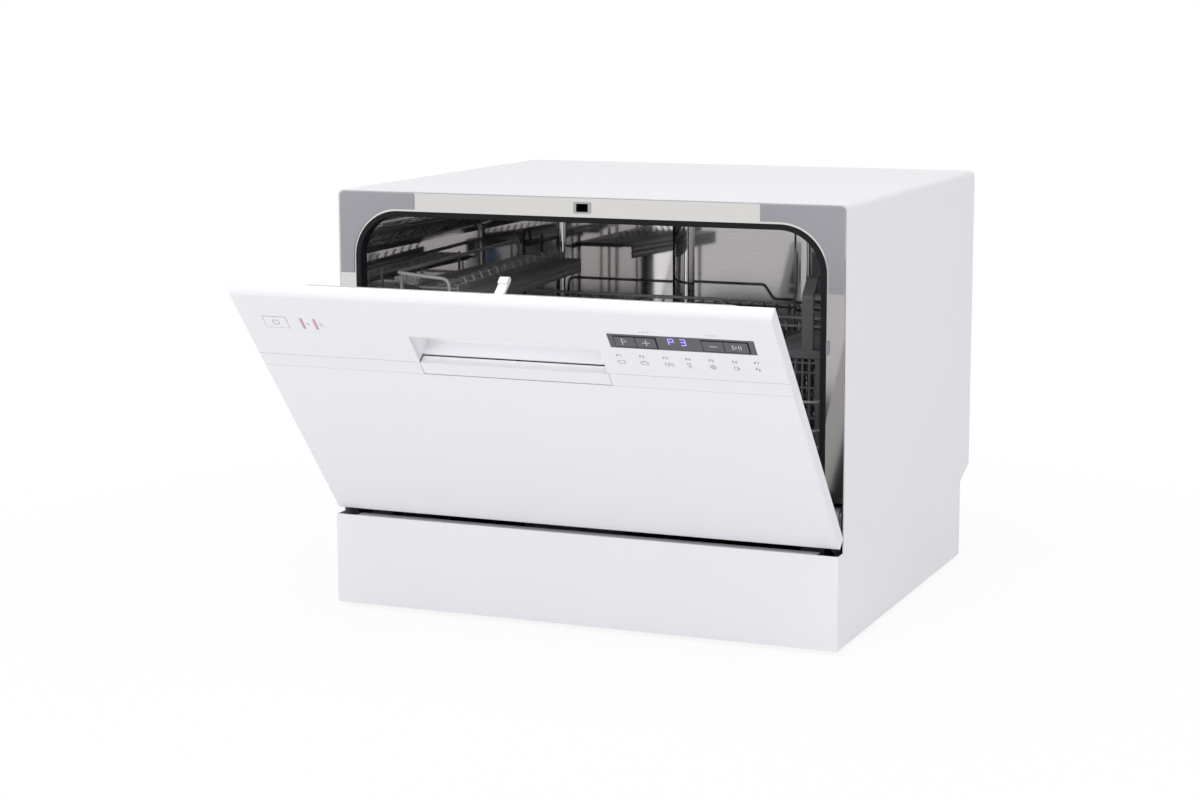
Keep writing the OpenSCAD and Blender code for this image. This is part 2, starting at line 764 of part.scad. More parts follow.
// The hinge brackets on the tray, each with side plate, foot and pin
module hinge_brackets() {
    t = 2;
    color(zinc) from_front() for (side = [0, 1]) mirror([side, 0, 0]) {
        difference() {
            union() {
                along_x(arm_x + 5, arm_x + 5 + t) bracket_outline();
                box(arm_x - 8, arm_x + 5 + past, 54, 80, tray_z, tray_z + t);
            }
            for (y = [62, 72]) rod_z(arm_x - 1.5, y, tray_z - past, tray_z + 3, 2.2);
        }
        rod_x(arm_x - 3, arm_x + 5 + past, hinge_y, hinge_z, hinge_pin_r);
        rod_x(arm_x - 4.6, arm_x - 2.4, hinge_y, hinge_z, hinge_pin_r + 2);
        rod_x(arm_x - 3, arm_x + 5 + past, stop_y, stop_z, stop_pin_r);
    }
}

// The rubber buffers that the hinge arms come to rest on when the door is fully open
module hinge_stops() {
    color(stop_green) from_front() for (s = [-1, 1]) difference() {
        rod_x(s * arm_x - (s > 0 ? 3 : 4.6), s * arm_x + (s > 0 ? 4.6 : 3), stop_y, stop_z, stop_r);
        rod_x(s * arm_x - 6, s * arm_x + 6, stop_y, stop_z, stop_pin_r + 0.02);
    }
}

module bracket_outline() {
    translate([hinge_y, hinge_z]) circle(8);
    translate([hinge_y, hinge_z - 8]) square([45, 16]);
    translate([54, tray_z]) square([26, hinge_z - tray_z - 12]);
    polygon([[hinge_y + 18, hinge_z - 8], [80, hinge_z - 40], [80, hinge_z - 8], [hinge_y + 45, hinge_z + 8],
        [hinge_y + 18, hinge_z + 8]]);
    translate([stop_y, stop_z]) circle(6);
    translate([stop_y - 6, hinge_z]) square([12, stop_z - hinge_z]);
}

// The hinge arms: each a plate up inside the door, the eye on the pin, and the tail that draws the spring
module hinge_arms() {
    color(zinc) on_door() for (side = [0, 1]) mirror([side, 0, 0]) difference() {
        along_x(arm_x - arm_t / 2, arm_x + arm_t / 2) {
            translate([3, hinge_z - 3]) square([door_t - 5, 125]);
            translate([hinge_y, hinge_z]) circle(7.5);
            translate([hinge_y, hinge_z]) rotate(tail_shut) translate([0, -5]) square([tail_len, 10]);
            translate([hinge_y, hinge_z]) rotate(tail_shut) translate([tail_len, 0]) circle(tail_r);
        }
        rod_x(arm_x - arm_t, arm_x + arm_t, hinge_y, hinge_z, hinge_pin_r + 0.1);
        translate([0, hinge_y, hinge_z]) rotate([tail_shut, 0, 0]) translate([0, tail_len, 0])
            rod_x(arm_x - arm_t, arm_x + arm_t, 0, 0, eye_r);
    }
}

// The spring's path: hook through the tray's lug, turns, hook through the arm's eye
hook_steps = 8;
coil_low = lug_z + 2 * hook_r + 1.5;
coil_high = eye_z - 2 * hook_r - 1.5;
coil_r = spring_r - spring_wire / 2;
coil_steps = 10 * spring_turns;
spring_path = concat(
    [for (i = [0 : hook_steps]) let (a = -20 + 250 * i / hook_steps)
        [hook_r * cos(a - 90), 0, lug_z + hook_r + hook_r * sin(a - 90)]],
    [for (i = [0 : coil_steps]) let (a = 180 + 360 * spring_turns * i / coil_steps)
        [coil_r * cos(a), coil_r * sin(a), coil_low + (coil_high - coil_low) * i / coil_steps]],
    [for (i = [0 : hook_steps]) let (a = -50 + 250 * i / hook_steps)
        [hook_r * cos(a - 90), 0, eye_z - hook_r + hook_r * sin(a - 90)]]
);
echo(spring_gap = (coil_high - coil_low) / spring_turns - spring_wire);

function unit(v) = v / norm(v);
function heading(p, i) = unit(p[min(i + 1, len(p) - 1)] - p[max(i - 1, 0)]);

// Rings of a tube that follows a path, square to it
function tube_ring(p, i, r, n) = let (
    t = heading(p, i),
    side = unit(cross(t, abs(t[1]) < 0.9 ? [0, 1, 0] : [1, 0, 0])),
    up = cross(side, t)
) [for (k = [0 : n - 1]) p[i] + r * (side * cos(360 * k / n) + up * sin(360 * k / n))];

module tube(p, r, n) {
    m = len(p);
    polyhedron(
        points = [for (i = [0 : m - 1]) each tube_ring(p, i, r, n)],
        faces = concat(
            [[for (k = [0 : n - 1]) k]],
            [for (i = [0 : m - 2], k = [0 : n - 1]) let (b = i * n, c = (k + 1) % n) [b + k, b + n + k, b + c]],
            [for (i = [0 : m - 2], k = [0 : n - 1]) let (b = i * n, c = (k + 1) % n)
                [b + c, b + n + k, b + n + c]],
            [[for (k = [n - 1 : -1 : 0]) (m - 1) * n + k]]
        )
    );
}

module hinge_spring_left() {
    color(zinc) from_front() translate([-arm_x, eye_y, 0]) tube(spring_path, spring_wire / 2, 6);
}

module hinge_spring_right() {
    color(zinc) from_front() translate([arm_x, eye_y, 0]) tube(spring_path, spring_wire / 2, 6);
}

// The door's outline from the side, with round outer edges, between two heights
module door_section(z0, z1, g) {
    translate([g, z0 + g]) square([door_t - g, z1 - z0 - door_r - g]);
    translate([door_r, z0 + g]) square([door_t - 2 * door_r, z1 - z0 - 2 * g]);
    translate([door_r, z0 + g]) square([door_t - door_r, z1 - z0 - 2 * g - 1]);
    translate([door_r, z1 - door_r]) circle(door_r - g);
    translate([door_t - door_r, z1 - door_r]) circle(door_r - g);
}

// The painted steel outer panel: a shallow tray open to the rear
module door_panel() {
    t = casing_t;
    color(white) on_door() difference() {
        union() {
            box(-half_w, half_w, 0, door_t - 1.2, door_bottom, crease_z - tiny);
        }
        box(-half_w + t, half_w - t, t, door_t + past, door_bottom + t, crease_z + past);
        for (s = [-1, 1]) box(s * (arm_x + 1) - 9, s * (arm_x + 1) + 9, t, door_t, door_bottom - past,
            door_bottom + 2 * t);
        for (s = [-1, 1]) translate([s * half_w, 0, 0]) edge_cut(door_bottom, crease_z);
        bottom_edge_cut();
    }
}

// Rounds an upright outer edge of the door
module edge_cut(z0, z1) {
    r = 1.2;
    for (x = [-1, 1]) difference() {
        translate([x * 0 - r, -past, z0 - past]) cube([2 * r, r + past, z1 - z0 + 2 * past]);
        for (k = [-1, 1]) rod_z(k * r, r, z0 - 2 * past, z1 + 2 * past, r);
    }
}

module bottom_edge_cut() {
    r = 1.2;
    difference() {
        box(-body_w, body_w, -past, r, door_bottom - past, door_bottom + r);
        rod_x(-body_w - past, body_w + past, r, door_bottom + r, r);
    }
}

// The control panel moulding: a shell with the grip pocket, window recess and button holes
module control_panel() {
    color(white) on_door() difference() {
        union() {
            difference() {
                along_x(-half_w, half_w) panel_section(0);
                along_x(-half_w + wall, half_w - wall) panel_section(wall);
            }
            pocket_box(wall - 0.4);
            box(pocket_x - pocket_w / 2 - 2, pocket_x + pocket_w / 2 + 2, grip_deep + 1.5,
                pocket_deep + wall - 0.4, pocket_low - 1.6, pocket_low + 0.2);
            box(-9, 9, wall - 0.4, door_t - 1.2, body_h - 7, body_h - wall + 0.4);
        }
        pocket_box(0);
        grip_space();
        groove();
        box(window_x - window_w / 2, window_x + window_w / 2, -past, wall + past,
            window_z - window_h / 2, window_z + window_h / 2);
        box(power_x - power_w / 2 - 0.4, power_x + power_w / 2 + 0.4, -past, wall + past,
            power_z - power_h / 2 - 0.4, power_z + power_h / 2 + 0.4);
        for (x = [power_x + 29.5, power_x + 43.5])
            box(x - 1.6, x + 1.6, -past, wall + past, window_z - 7.5, window_z + 7.5);
        for (s = [-1, 1]) translate([s * half_w, 0, 0]) edge_cut(crease_z, body_h);
    }
}

module panel_section(g) {
    translate([g, crease_z - (g > 0 ? past : 0)])
        square([door_t - 1.2 - g + (g > 0 ? 2 : 0), body_h - crease_z - door_r + (g > 0 ? past : 0)]);
    translate([door_r, crease_z]) square([door_t - 1.2 - door_r + (g > 0 ? 2 : 0), body_h - g - crease_z]);
    translate([door_r, body_h - door_r]) circle(door_r - g);
}

// The pocket behind the grip: a box whose roof slopes down towards the rear
module pocket_box(g) {
    w = pocket_w / 2 + g;
    top = pocket_low + pocket_h;
    along_x(pocket_x - w, pocket_x + w) polygon([
        [g > 0 ? 1 : -past, pocket_low], [g > 0 ? 1 : -past, top + g],
        [6, top + g], [pocket_deep + g, top - 12 + g], [pocket_deep + g, pocket_low]
    ]);
}

// Room for the grip bar and its swing
module grip_space() {
    w = pocket_w / 2 + 0.6;
    box(pocket_x - w, pocket_x + w, -past, grip_deep + 1.5, crease_z - past, pocket_low);
    box(pocket_x - w - 3, pocket_x + w + 3, wall, pocket_deep + 3, crease_z - past, pocket_low - 1.6);
}

// The fine parting groove on both sides of the pocket
module groove() {
    for (s = [-1, 1]) translate([s * half_w / 2, 0, groove_z]) cube([half_w + 2 * past, 1.2, 0.8], center = true);
}

// The stainless liner: a flat edge with a raised field that stands into the tub
module door_liner() {
    t = inox_t;
    color(steel) on_door() difference() {
        union() {
            box(-half_w + 2.6, half_w - 2.6, door_t - t, door_t, door_bottom + 1, body_h - 2.6);
            along_y(door_t - t, liner_deep) round_rect(-liner_half, liner_half, liner_low, liner_top, 24);
        }
        along_y(door_t - t - past, liner_deep - t)
            round_rect(-liner_half + t, liner_half - t, liner_low + t, liner_top - t, 23);
        for (x = [-arm_x - 2.5, arm_x + 2.5])
            box(x - 13, x + 13, 0, door_t + past, door_bottom, sill_z - 10);
        box(-8, 8, 0, door_t + past, slot_z - 7, slot_z + 6);
        dispenser_hole();
    }
}

// The dark window, cut out for its four keys
module control_window() {
    x0 = window_x - window_w / 2;
    x1 = window_x + window_w / 2;
    color(window_grey) on_door() difference() {
        along_y(0.2, window_deep + 0.2)
            round_rect(x0 + 0.15, x1 - 0.15, window_z - window_h / 2 + 0.15, window_z + window_h / 2 - 0.15, 1.2);
        for (k = keys) box(k[0] - k[1] / 2 - 0.35, k[0] + k[1] / 2 + 0.35, -past, window_deep + past,
            button_z - button_h / 2 - 0.35, button_z + button_h / 2 + 0.35);
    }
}

// Centre and width of each key in the window
keys = [
    [window_x - 55.5, key_w], [window_x - 34.5, key_w], [window_x + 30, key_w], [window_x + 52.5, start_w]
];

// A key cap with its stem, which ends just above the board
module key_cap(x, w, h, z, y_front) {
    along_y(y_front, window_deep + 2.4) round_rect(x - w / 2, x + w / 2, z - h / 2, z + h / 2, 0.8);
    rod_y(x, window_deep + 2, board_y - tiny - button_travel, z, 2.2);
}

board_y = 9.5;

module program_button() {
    color(window_grey) on_door() key_cap(keys[0][0], keys[0][1], button_h, button_z, 0.5);
}

module plus_button() {
    color(window_grey) on_door() key_cap(keys[1][0], keys[1][1], button_h, button_z, 0.5);
}

module minus_button() {
    color(window_grey) on_door() key_cap(keys[2][0], keys[2][1], button_h, button_z, 0.5);
}

module start_button() {
    color(window_grey) on_door() key_cap(keys[3][0], keys[3][1], button_h, button_z, 0.5);
}

module power_button() {
    color(white) on_door() key_cap(power_x, power_w, power_h, power_z, 0.1);
}

// Two narrow light windows beside the power button
module indicator_bars() {
    color(light_red) on_door() for (x = [power_x + 29.5, power_x + 43.5])
        box(x - 1.5, x + 1.5, 0.1, wall + 1, window_z - 7.4, window_z + 7.4);
}

// The control boards on their carriers, behind the window and behind the power button
module control_board() {
    color(pcb_green) on_door() difference() {
        union() {
            for (x = [[window_x - window_w / 2 - 4, window_x + window_w / 2 + 4], [power_x - 20, power_x + 52]]) {
                box(x[0], x[1], board_y, board_y + 1.6, window_z - 16, window_z + 14);
                for (e = [x[0] + 1.5, x[1] - 1.5]) box(e - 1.5, e + 1.5, wall, board_y + 0.2,
                    window_z - 16, window_z - 11.5);
            }
            box(window_x - 30, window_x + 10, board_y + 1.4, door_t - inox_t - tiny, window_z - 12, window_z + 8);
            box(window_x - 20, window_x + 14, window_deep + 0.6, board_y + 0.2, window_z - 8, window_z + 8);
        }
        for (x = [power_x + 29.5, power_x + 43.5]) box(x - 1.7, x + 1.7, board_y - past, board_y + 2 * past, window_z - 8, window_z + 8);
    }
}

// The dispenser's place in the liner, and its outline
disp_w = 150;
disp_h = 96;
module dispenser_outline(g) {
    round_rect(dispenser_x - disp_w / 2 - g, dispenser_x + disp_w / 2 + g,
        dispenser_z - disp_h / 2 - g, dispenser_z + disp_h / 2 + g, 10 + g);
}

module dispenser_hole() {
    along_y(liner_deep - 5, liner_deep + past) dispenser_outline(-4);
}

cup_x = dispenser_x - 32;
cup_w = 62;
cup_h = 54;
rinse_x = dispenser_x + 44;
lid_y = liner_deep + 4.3;
lid_z = dispenser_z - cup_h / 2 - 6;

// The dispenser: a plate on the liner, the detergent cup and the rinse-aid chamber behind it
module dispenser_body() {
    color(pale_plastic) on_door() difference() {
        union() {
            along_y(liner_deep, liner_deep + 4) dispenser_outline(0);
            along_y(liner_deep - 26, liner_deep + past) dispenser_outline(-4.3);
            for (x = [cup_x - cup_w / 2 + 2, cup_x + cup_w / 2 - 8]) lid_ear(x);
        }
        along_y(liner_deep - 20, liner_deep + 5) round_rect(cup_x - cup_w / 2 + 5, cup_x + cup_w / 2 - 5,
            dispenser_z - cup_h / 2 + 4, dispenser_z + cup_h / 2 - 4, 8);
        rod_y(rinse_x, liner_deep - 20, liner_deep + 5, dispenser_z, 12);
        for (x = [cup_x - cup_w / 2, cup_x + cup_w / 2 - 10]) rod_x(x, x + 10, lid_y + 3, lid_z, 1.6);
    }
}

module lid_ear(x) {
    box(x, x + 6, liner_deep + 3, lid_y + 3, lid_z - 3.5, lid_z + 3.5);
    rod_x(x, x + 6, lid_y + 3, lid_z, 3.5);
}

// The lid over the detergent cup, on a pin along its lower edge
module detergent_lid() {
    color(dark_plastic) on_door() difference() {
        union() {
            along_y(lid_y, lid_y + 3) round_rect(cup_x - cup_w / 2, cup_x + cup_w / 2,
                lid_z + 4.2, dispenser_z + cup_h / 2 + 2, 5);
            box(cup_x - 18, cup_x + 18, lid_y, lid_y + 3, lid_z - 1, lid_z + 6);
            rod_x(cup_x - 18, cup_x + 18, lid_y + 3, lid_z, 3);
            rod_x(cup_x - cup_w / 2 + 1, cup_x + cup_w / 2 - 1, lid_y + 3, lid_z, 1.5);
            box(cup_x - 8, cup_x + 8, lid_y + 2.9, lid_y + 5, dispenser_z + cup_h / 2 - 8, dispenser_z + cup_h / 2);
        }
        box(cup_x - 20, cup_x + 20, lid_y - 3, lid_y, lid_z - 4, lid_z + 4);
    }
}

module rinse_cap() {
    color(cap_blue) on_door() difference() {
        union() {
            rod_y(rinse_x, liner_deep + 4.3, liner_deep + 9, dispenser_z, 17);
            rod_y(rinse_x, liner_deep - 8, liner_deep + 5, dispenser_z, 11.7);
        }
        for (s = [-1, 1]) box(rinse_x + s * 7 - 3.5, rinse_x + s * 7 + 3.5, liner_deep + 6, liner_deep + 10,
            dispenser_z - 11, dispenser_z + 11);
        rod_y(rinse_x, liner_deep - 9, liner_deep - 1, dispenser_z, 9.5);
    }
}

// The latch case in the door's top: two cheeks and the hook's pin
module latch_housing() {
    color(pale_plastic) on_door() union() {
        for (s = [-1, 1]) box(min(s * 6, s * 16), max(s * 6, s * 16), wall + tiny, door_t - inox_t - 0.2,
            slot_z - 14, body_h - 7 - tiny);
        rod_x(-7, 7, hook_pivot_y, hook_pivot_z, 2);
    }
}

// The white latch hook on its pin
module latch_hook() {
    z = hook_pivot_z;
    tip = liner_deep;
    color(white) on_door() difference() {
        along_x(-5, 5) {
            translate([hook_pivot_y, z]) circle(3.6);
            polygon([
                [hook_pivot_y, z - 1.6], [tip - 7, z - 1.6], [tip - 6, z - 3], [tip - 3.5, z - 3],
                [tip, z - 0.4], [tip, z + 0.8], [tip - 3, z + 1.6], [hook_pivot_y, z + 1.6]
            ]);
        }
        rod_x(-6, 6, hook_pivot_y, z, 2.1);
    }
}

// The link that carries the grip's push round the pocket and up to the hook
module latch_link() {
    low = grip_pivot_z + 3.7;
    high = liner_top - 5;
    color(dark_plastic) on_door() union() {
        box(-3, 3, grip_deep + 0.5, link_y + 1.5, low, low + 3);
        box(-3, 3, link_y - 1.5, link_y + 1.5, low, high);
        box(-3, 3, push_y, link_y + 1.5, high - 3, high);
        box(-3, 3, push_y, push_y + 1.4, high - 3, hook_pivot_z - 1.6 - tiny);
    }
}

// The grip bar along the pocket's lower edge, a lever that frees the latch
module handle_bar() {
    w = pocket_w / 2;
    color(white) on_door() difference() {
        union() {
            along_x(pocket_x - w, pocket_x + w) {
                translate([0, crease_z + 1]) square([2.4, groove_z - crease_z - 1.6]);
                translate([0, groove_z - 3.4]) square([grip_deep, 2.8]);
                translate([grip_pivot_y, grip_pivot_z]) circle(3);
                translate([0, crease_z + 1]) square([grip_pivot_y, 2.4]);
            }
            along_x(-5, 5) translate([grip_pivot_y, grip_pivot_z + 0.4]) square([5, 3]);
        }
        for (s = [-1, 1]) rod_x(pocket_x + s * w - 12, pocket_x + s * w + 12, grip_pivot_y, grip_pivot_z, 1.6);
    }
}

// Wires of the rack; each is an eight-sided rod
module wire_x(x0, x1, y, z, d) {
    translate([x0, y, z]) rotate([0, 90, 0]) rotate([0, 0, 22.5]) cylinder(d = d, h = x1 - x0, $fn = 8);
}

module wire_y(x, y0, y1, z, d) {
    translate([x, y0, z]) rotate([-90, 0, 0]) rotate([0, 0, 22.5]) cylinder(d = d, h = y1 - y0, $fn = 8);
}

module wire_z(x, y, z0, z1, d) {
    translate([x, y, z0]) rotate([0, 0, 22.5]) cylinder(d = d, h = z1 - z0, $fn = 8);
}

// A straight wire between any two points
module wire(a, b, d) {
    v = b - a;
    translate(a) rotate([0, acos(v[2] / norm(v)), atan2(v[1], v[0])]) rotate([0, 0, 22.5])
        cylinder(d = d, h = norm(v), $fn = 8);
}

// Sizes across the flats of the wires, and the heights of the wall wires above the floor wires
gw = grid_wire * cos(22.5);
rw = rim_wire * cos(22.5);
lift = [9, 18, 35, 64];
wire_zf = rack_floor + gw / 2;
wall_foot = wire_zf + 1.4 * gw;
rim_top = rim_z - rw / 2;
wall_x = rack_half - rw / 2;
wall_y0 = rack_y + rw / 2;
wall_y1 = rack_y + rack_d - rw / 2;
bay_x = 2 * wall_x / 9;

// The rack's floor: crossed wires, and the carriers of the four rollers
module rack_floor_grid() {
    color(wire_grey) from_front() union() {
        for (y = [wall_y0, wall_y1]) wire_x(-wall_x - gw / 2, wall_x + gw / 2, y, wire_zf, grid_wire);
        for (k = [0 : 9]) wire_y(-wall_x + k * bay_x, wall_y0 - gw / 2, wall_y1 + gw / 2,
            wire_zf + 0.9 * gw, grid_wire);
        for (k = [0 : 4]) let (x = k % 4 == 0 ? roller_x - 8.5 : wall_x)
            wire_x(-x, x, roller_front + k * (roller_rear - roller_front) / 4, wire_zf, grid_wire);
        for (s = [-1, 1], y = [roller_front, roller_rear]) roller_carrier(s, y);
    }
}

// The bent wire and pin that carry a roller
module roller_carrier(s, y) {
    xin = s * (roller_x - 9);
    wire_z(xin, y, roller_z - 3, wire_zf + 1, 6);
    rod_x(min(xin, s * (roller_x + 5)), max(xin, s * (roller_x + 5)), y, roller_z, 2.4);
    rod_x(min(s * (roller_x + 5), s * (roller_x + 6)), max(s * (roller_x + 5), s * (roller_x + 6)),
        y, roller_z, 4);
}

// The low front wall, with the loop that joins the left rim
module rack_front() {
    loop_x = -wall_x + 62;
    color(wire_grey) from_front() union() {
        for (z = lift) wire_x(-wall_x - gw / 2, wall_x + gw / 2, wall_y0, wire_zf + z, grid_wire);
        for (k = [1 : 8]) wire_z(-wall_x + k * bay_x, wall_y0 + 0.9 * gw, wall_foot,
            wire_zf + lift[3] + 1, grid_wire);
        wire_x(-wall_x + rw / 2, loop_x + rw / 2, wall_y0, rim_top, rim_wire);
        wire_z(loop_x, wall_y0, wire_zf + lift[0] - 2, rim_top, rim_wire);
    }
}

// The high rear wall, whose top wire steps down to the right
module rack_back() {
    top = rim_top - 12;
    low = rim_top - 28;
    slant = rack_half - 193;
    color(wire_grey) from_front() union() {
        for (z = lift) wire_x(-wall_x - gw / 2, wall_x + gw / 2, wall_y1, wire_zf + z, grid_wire);
        for (k = [1 : 8]) wire_z(-wall_x + k * bay_x, wall_y1 - 0.9 * gw, wall_foot, low - 7, grid_wire);
        wire_x(-wall_x + rw / 2, wall_x - rw / 2, wall_y1, low - 8, grid_wire);
        wire_x(-wall_x + rw / 2, slant, wall_y1, top, rim_wire);
        wire([slant - 1, wall_y1, top], [slant + 13, wall_y1, low], rim_wire);
        wire_x(slant + 12, wall_x - rw / 2, wall_y1, low, rim_wire);
        for (x = [-wall_x + 9, wall_x - 9]) wire_z(x, wall_y1, wire_zf + lift[3], x < 0 ? top : low, rim_wire);
    }
}

// A side wall: low wires, uprights and the high rim
module rack_side(s) {
    x = s * wall_x;
    y0 = s < 0 ? wall_y0 - rw / 2 : wall_y0 + 12;
    color(wire_grey) from_front() union() {
        for (z = lift) wire_y(x, wall_y0 - gw / 2, wall_y1 + gw / 2, wire_zf + z + gw, grid_wire);
        for (k = [1 : 5]) wire_z(x - s * 0.9 * gw, wall_y0 + 12 + k * (wall_y1 - wall_y0 - 24) / 6,
            wall_foot, k % 2 == 1 ? rim_top : wire_zf + lift[3] + gw, grid_wire);
        wire_y(x, y0, wall_y1 + rw / 2, rim_top, rim_wire);
        for (y = [wall_y0 + 12, wall_y1 - 12]) wire_z(x, y, wall_foot, rim_top, rim_wire);
    }
}

module rack_left() {
    rack_side(-1);
    color(wire_grey) from_front() shelf_wire();
}

// The wire that the cup shelf hinges on
module shelf_wire() {
    a = shelf_y - 5;
    b = shelf_y + shelf_len + 5;
    wire_y(shelf_x, a - gw / 2, b + gw / 2, shelf_z, grid_wire);
    for (y = [a, b]) {
        wire_x(-wall_x - gw / 2, shelf_x + gw / 2, y, shelf_z, grid_wire);
        wire_z(-wall_x, y, shelf_z, rim_top, grid_wire);
    }
}

module rack_right() {
    rack_side(1);
}

// Rows of upright tines that hold the plates
module rack_tines() {
    z = wire_zf + 1.9 * gw;
    x0 = -rack_half + 85;
    x1 = basket_x - basket_w / 2 - 26;
    color(wire_grey) from_front() for (row = [0 : 2]) {
        y = rack_y + 60 + row * (rack_d - 137) / 2;
        wire_x(x0, x1, y, z, grid_wire);
        for (x = [x0 + 6 : tine_pitch : x1 - 2]) wire([x, y, z], [x, y + 8, z + 62 - 6 * row], grid_wire);
    }
}

// A pair of rollers on one axis
module roller_pair(y) {
    color(dark_plastic) from_front() for (s = [-1, 1]) difference() {
        union() {
            rod_x(s * roller_x - 3.6, s * roller_x + 3.6, y, roller_z, roller_r);
            rod_x(s * roller_x - 4.4, s * roller_x + 4.4, y, roller_z, 6);
        }
        rod_x(s * roller_x - 6, s * roller_x + 6, y, roller_z, 2.6);
        for (a = [0 : 60 : 300]) rod_x(s * roller_x - 6, s * roller_x + 6, y + (roller_r - 5) * cos(a),
            roller_z + (roller_r - 5) * sin(a), 1.8);
    }
}

module rack_rollers_front() {
    roller_pair(roller_front);
}

module rack_rollers_rear() {
    roller_pair(roller_rear);
}

// The folding cup shelf: a slotted plate on the side wire with a comb along its inner edge
module cup_shelf() {
    x0 = shelf_x;
    x1 = x0 + shelf_w;
    teeth = floor((shelf_len - 12) / comb_pitch);
    color(dark_plastic) from_front() difference() {
        union() {
            box(x0, x1, shelf_y, shelf_y + shelf_len, shelf_z - 1.2, shelf_z + 1.2);
            box(x1 - 2.4, x1, shelf_y, shelf_y + shelf_len, shelf_z - 8, shelf_z + 6);
            for (k = [0 : teeth]) translate([x1 - 2.4, shelf_y + 4 + k * comb_pitch, shelf_z + 5])
                cube([2.4, 4, 9]);
            rod_y(x0, shelf_y, shelf_y + shelf_len, shelf_z, 3.2);
            for (y = [shelf_y + 20 : 54 : shelf_y + shelf_len - 20]) box(x0, x1 - 1, y - 1, y + 1,
                shelf_z - 6, shelf_z);
        }
        for (y = [shelf_y + 8 : 18 : shelf_y + shelf_len - 16], x = [x0 + 10, x0 + 32])
            along_z_plate(x, x + 17, y, y + 11, shelf_z - 2, shelf_z + 2, 3);
        rod_y(x0, shelf_y - past, shelf_y + shelf_len + past, shelf_z, 1.6);
    }
}

// The cutlery basket: slatted walls, a rim and a carrying arch
module cutlery_basket() {
    t = 2;
    x0 = basket_x - basket_w / 2;
    x1 = basket_x + basket_w / 2;
    y1 = basket_y + basket_l;
    z0 = basket_z;
    z1 = basket_z + basket_h;
    color(dark_plastic) from_front() difference() {
        union() {
            along_z_plate(x0, x1, basket_y, y1, z0, z1, 5);
            along_z_plate(x0 - 1, x1 + 1, basket_y - 1, y1 + 1, z1 - 9, z1, 6);
            basket_handle(z1);
            for (y = [basket_y + 50, basket_y + basket_l - 46]) box(x0 + 8, x1 - 14, y - 1, y + 1,
                basket_foot, z0 + 1);
        }
        for (k = [0 : 2]) cell(x0, k, z0, z1);
        for (z = [z0 + 8, z0 + 52]) {
            for (k = [0 : 2], i = [0 : 3]) let (y = basket_y + 5 + k * (basket_l - 2) / 3 + i * 12)
                box(x0 - past, x1 + past, y, y + 3.6, z, z + 38);
            for (x = [x0 + 8 : 12 : x1 - 10], y = [basket_y, y1 - 2]) box(x, x + 3.6, y - past, y + 3, z, z + 38);
        }
    }
}

module cell(x0, k, z0, z1) {
    t = 2;
    l = (basket_l - 4 * t) / 3;
    y = basket_y + t + k * (l + t);
    along_z_plate(x0 + t, x0 + basket_w - t, y, y + l, z0 + t, z1 + past, 3);
}

// The carrying arch from the front wall to the rear wall
module basket_handle(z1) {
    y1 = basket_y + basket_l;
    top = z1 + basket_arch;
    for (y = [basket_y, y1 - 4]) box(basket_x - 6.5, basket_x + 6.5, y, y + 4, z1 - 9, top - 20);
    along_x(basket_x - 6.5, basket_x + 6.5) polygon([
        [basket_y, top - 20.5], [basket_y + 16, top - 4], [y1 - 16, top - 4], [y1, top - 20.5],
        [y1 - 4, top - 20.5], [y1 - 18, top - 8.5], [basket_y + 18, top - 8.5], [basket_y + 4, top - 20.5]
    ]);
}

casing_wrap();
rear_cover();
kick_panel();
base_tray();
feet();
front_frame();
frame_pads();
door_seal();
strike_plate();
latch_catch();
tub_wrap();
tub_back();
tub_floor();
sump();
filter_plate();
filter_cup();
spray_hub();
spray_arm();
salt_cap();
water_softener();
float();
wash_pump();
drain_pump();
inlet_valve();
air_break();
cord_gland();
hinge_brackets();
hinge_stops();
hinge_spring_left();
hinge_spring_right();
hinge_arms();
door_panel();
control_panel();
door_liner();
control_window();
indicator_bars();
control_board();
dispenser_body();
detergent_lid();
rinse_cap();
latch_housing();
latch_hook();
latch_link();
handle_bar();
power_button();
program_button();
plus_button();
minus_button();
start_button();
rack_floor_grid();
rack_front();
rack_back();
rack_left();
rack_right();
rack_tines();
rack_rollers_front();
rack_rollers_rear();
cup_shelf();
cutlery_basket();
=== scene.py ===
import bpy, bmesh, math
from mathutils import Matrix, Vector


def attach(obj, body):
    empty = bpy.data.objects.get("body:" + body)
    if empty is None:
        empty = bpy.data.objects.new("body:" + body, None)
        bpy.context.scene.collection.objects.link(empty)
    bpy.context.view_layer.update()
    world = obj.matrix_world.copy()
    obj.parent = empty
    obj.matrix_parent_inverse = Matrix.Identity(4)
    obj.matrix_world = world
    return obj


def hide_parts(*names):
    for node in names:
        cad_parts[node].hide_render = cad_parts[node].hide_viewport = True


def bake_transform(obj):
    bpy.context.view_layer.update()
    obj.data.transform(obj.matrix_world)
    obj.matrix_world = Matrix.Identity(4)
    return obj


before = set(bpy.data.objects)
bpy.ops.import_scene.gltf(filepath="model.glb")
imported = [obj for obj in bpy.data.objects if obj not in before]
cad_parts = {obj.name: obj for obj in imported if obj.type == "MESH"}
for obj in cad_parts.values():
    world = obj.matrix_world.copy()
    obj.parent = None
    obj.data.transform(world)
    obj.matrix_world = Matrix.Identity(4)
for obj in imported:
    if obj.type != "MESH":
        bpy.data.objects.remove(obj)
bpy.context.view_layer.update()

# ---- Table, room and camera ----
# The dishwasher stands on a seamless pale table in soft light from three broad lamps and a white
# room. The camera fits the casing's corners in the photograph: a long lens, from 9 degrees above.
scene = bpy.context.scene
scene.view_settings.view_transform = "Standard"


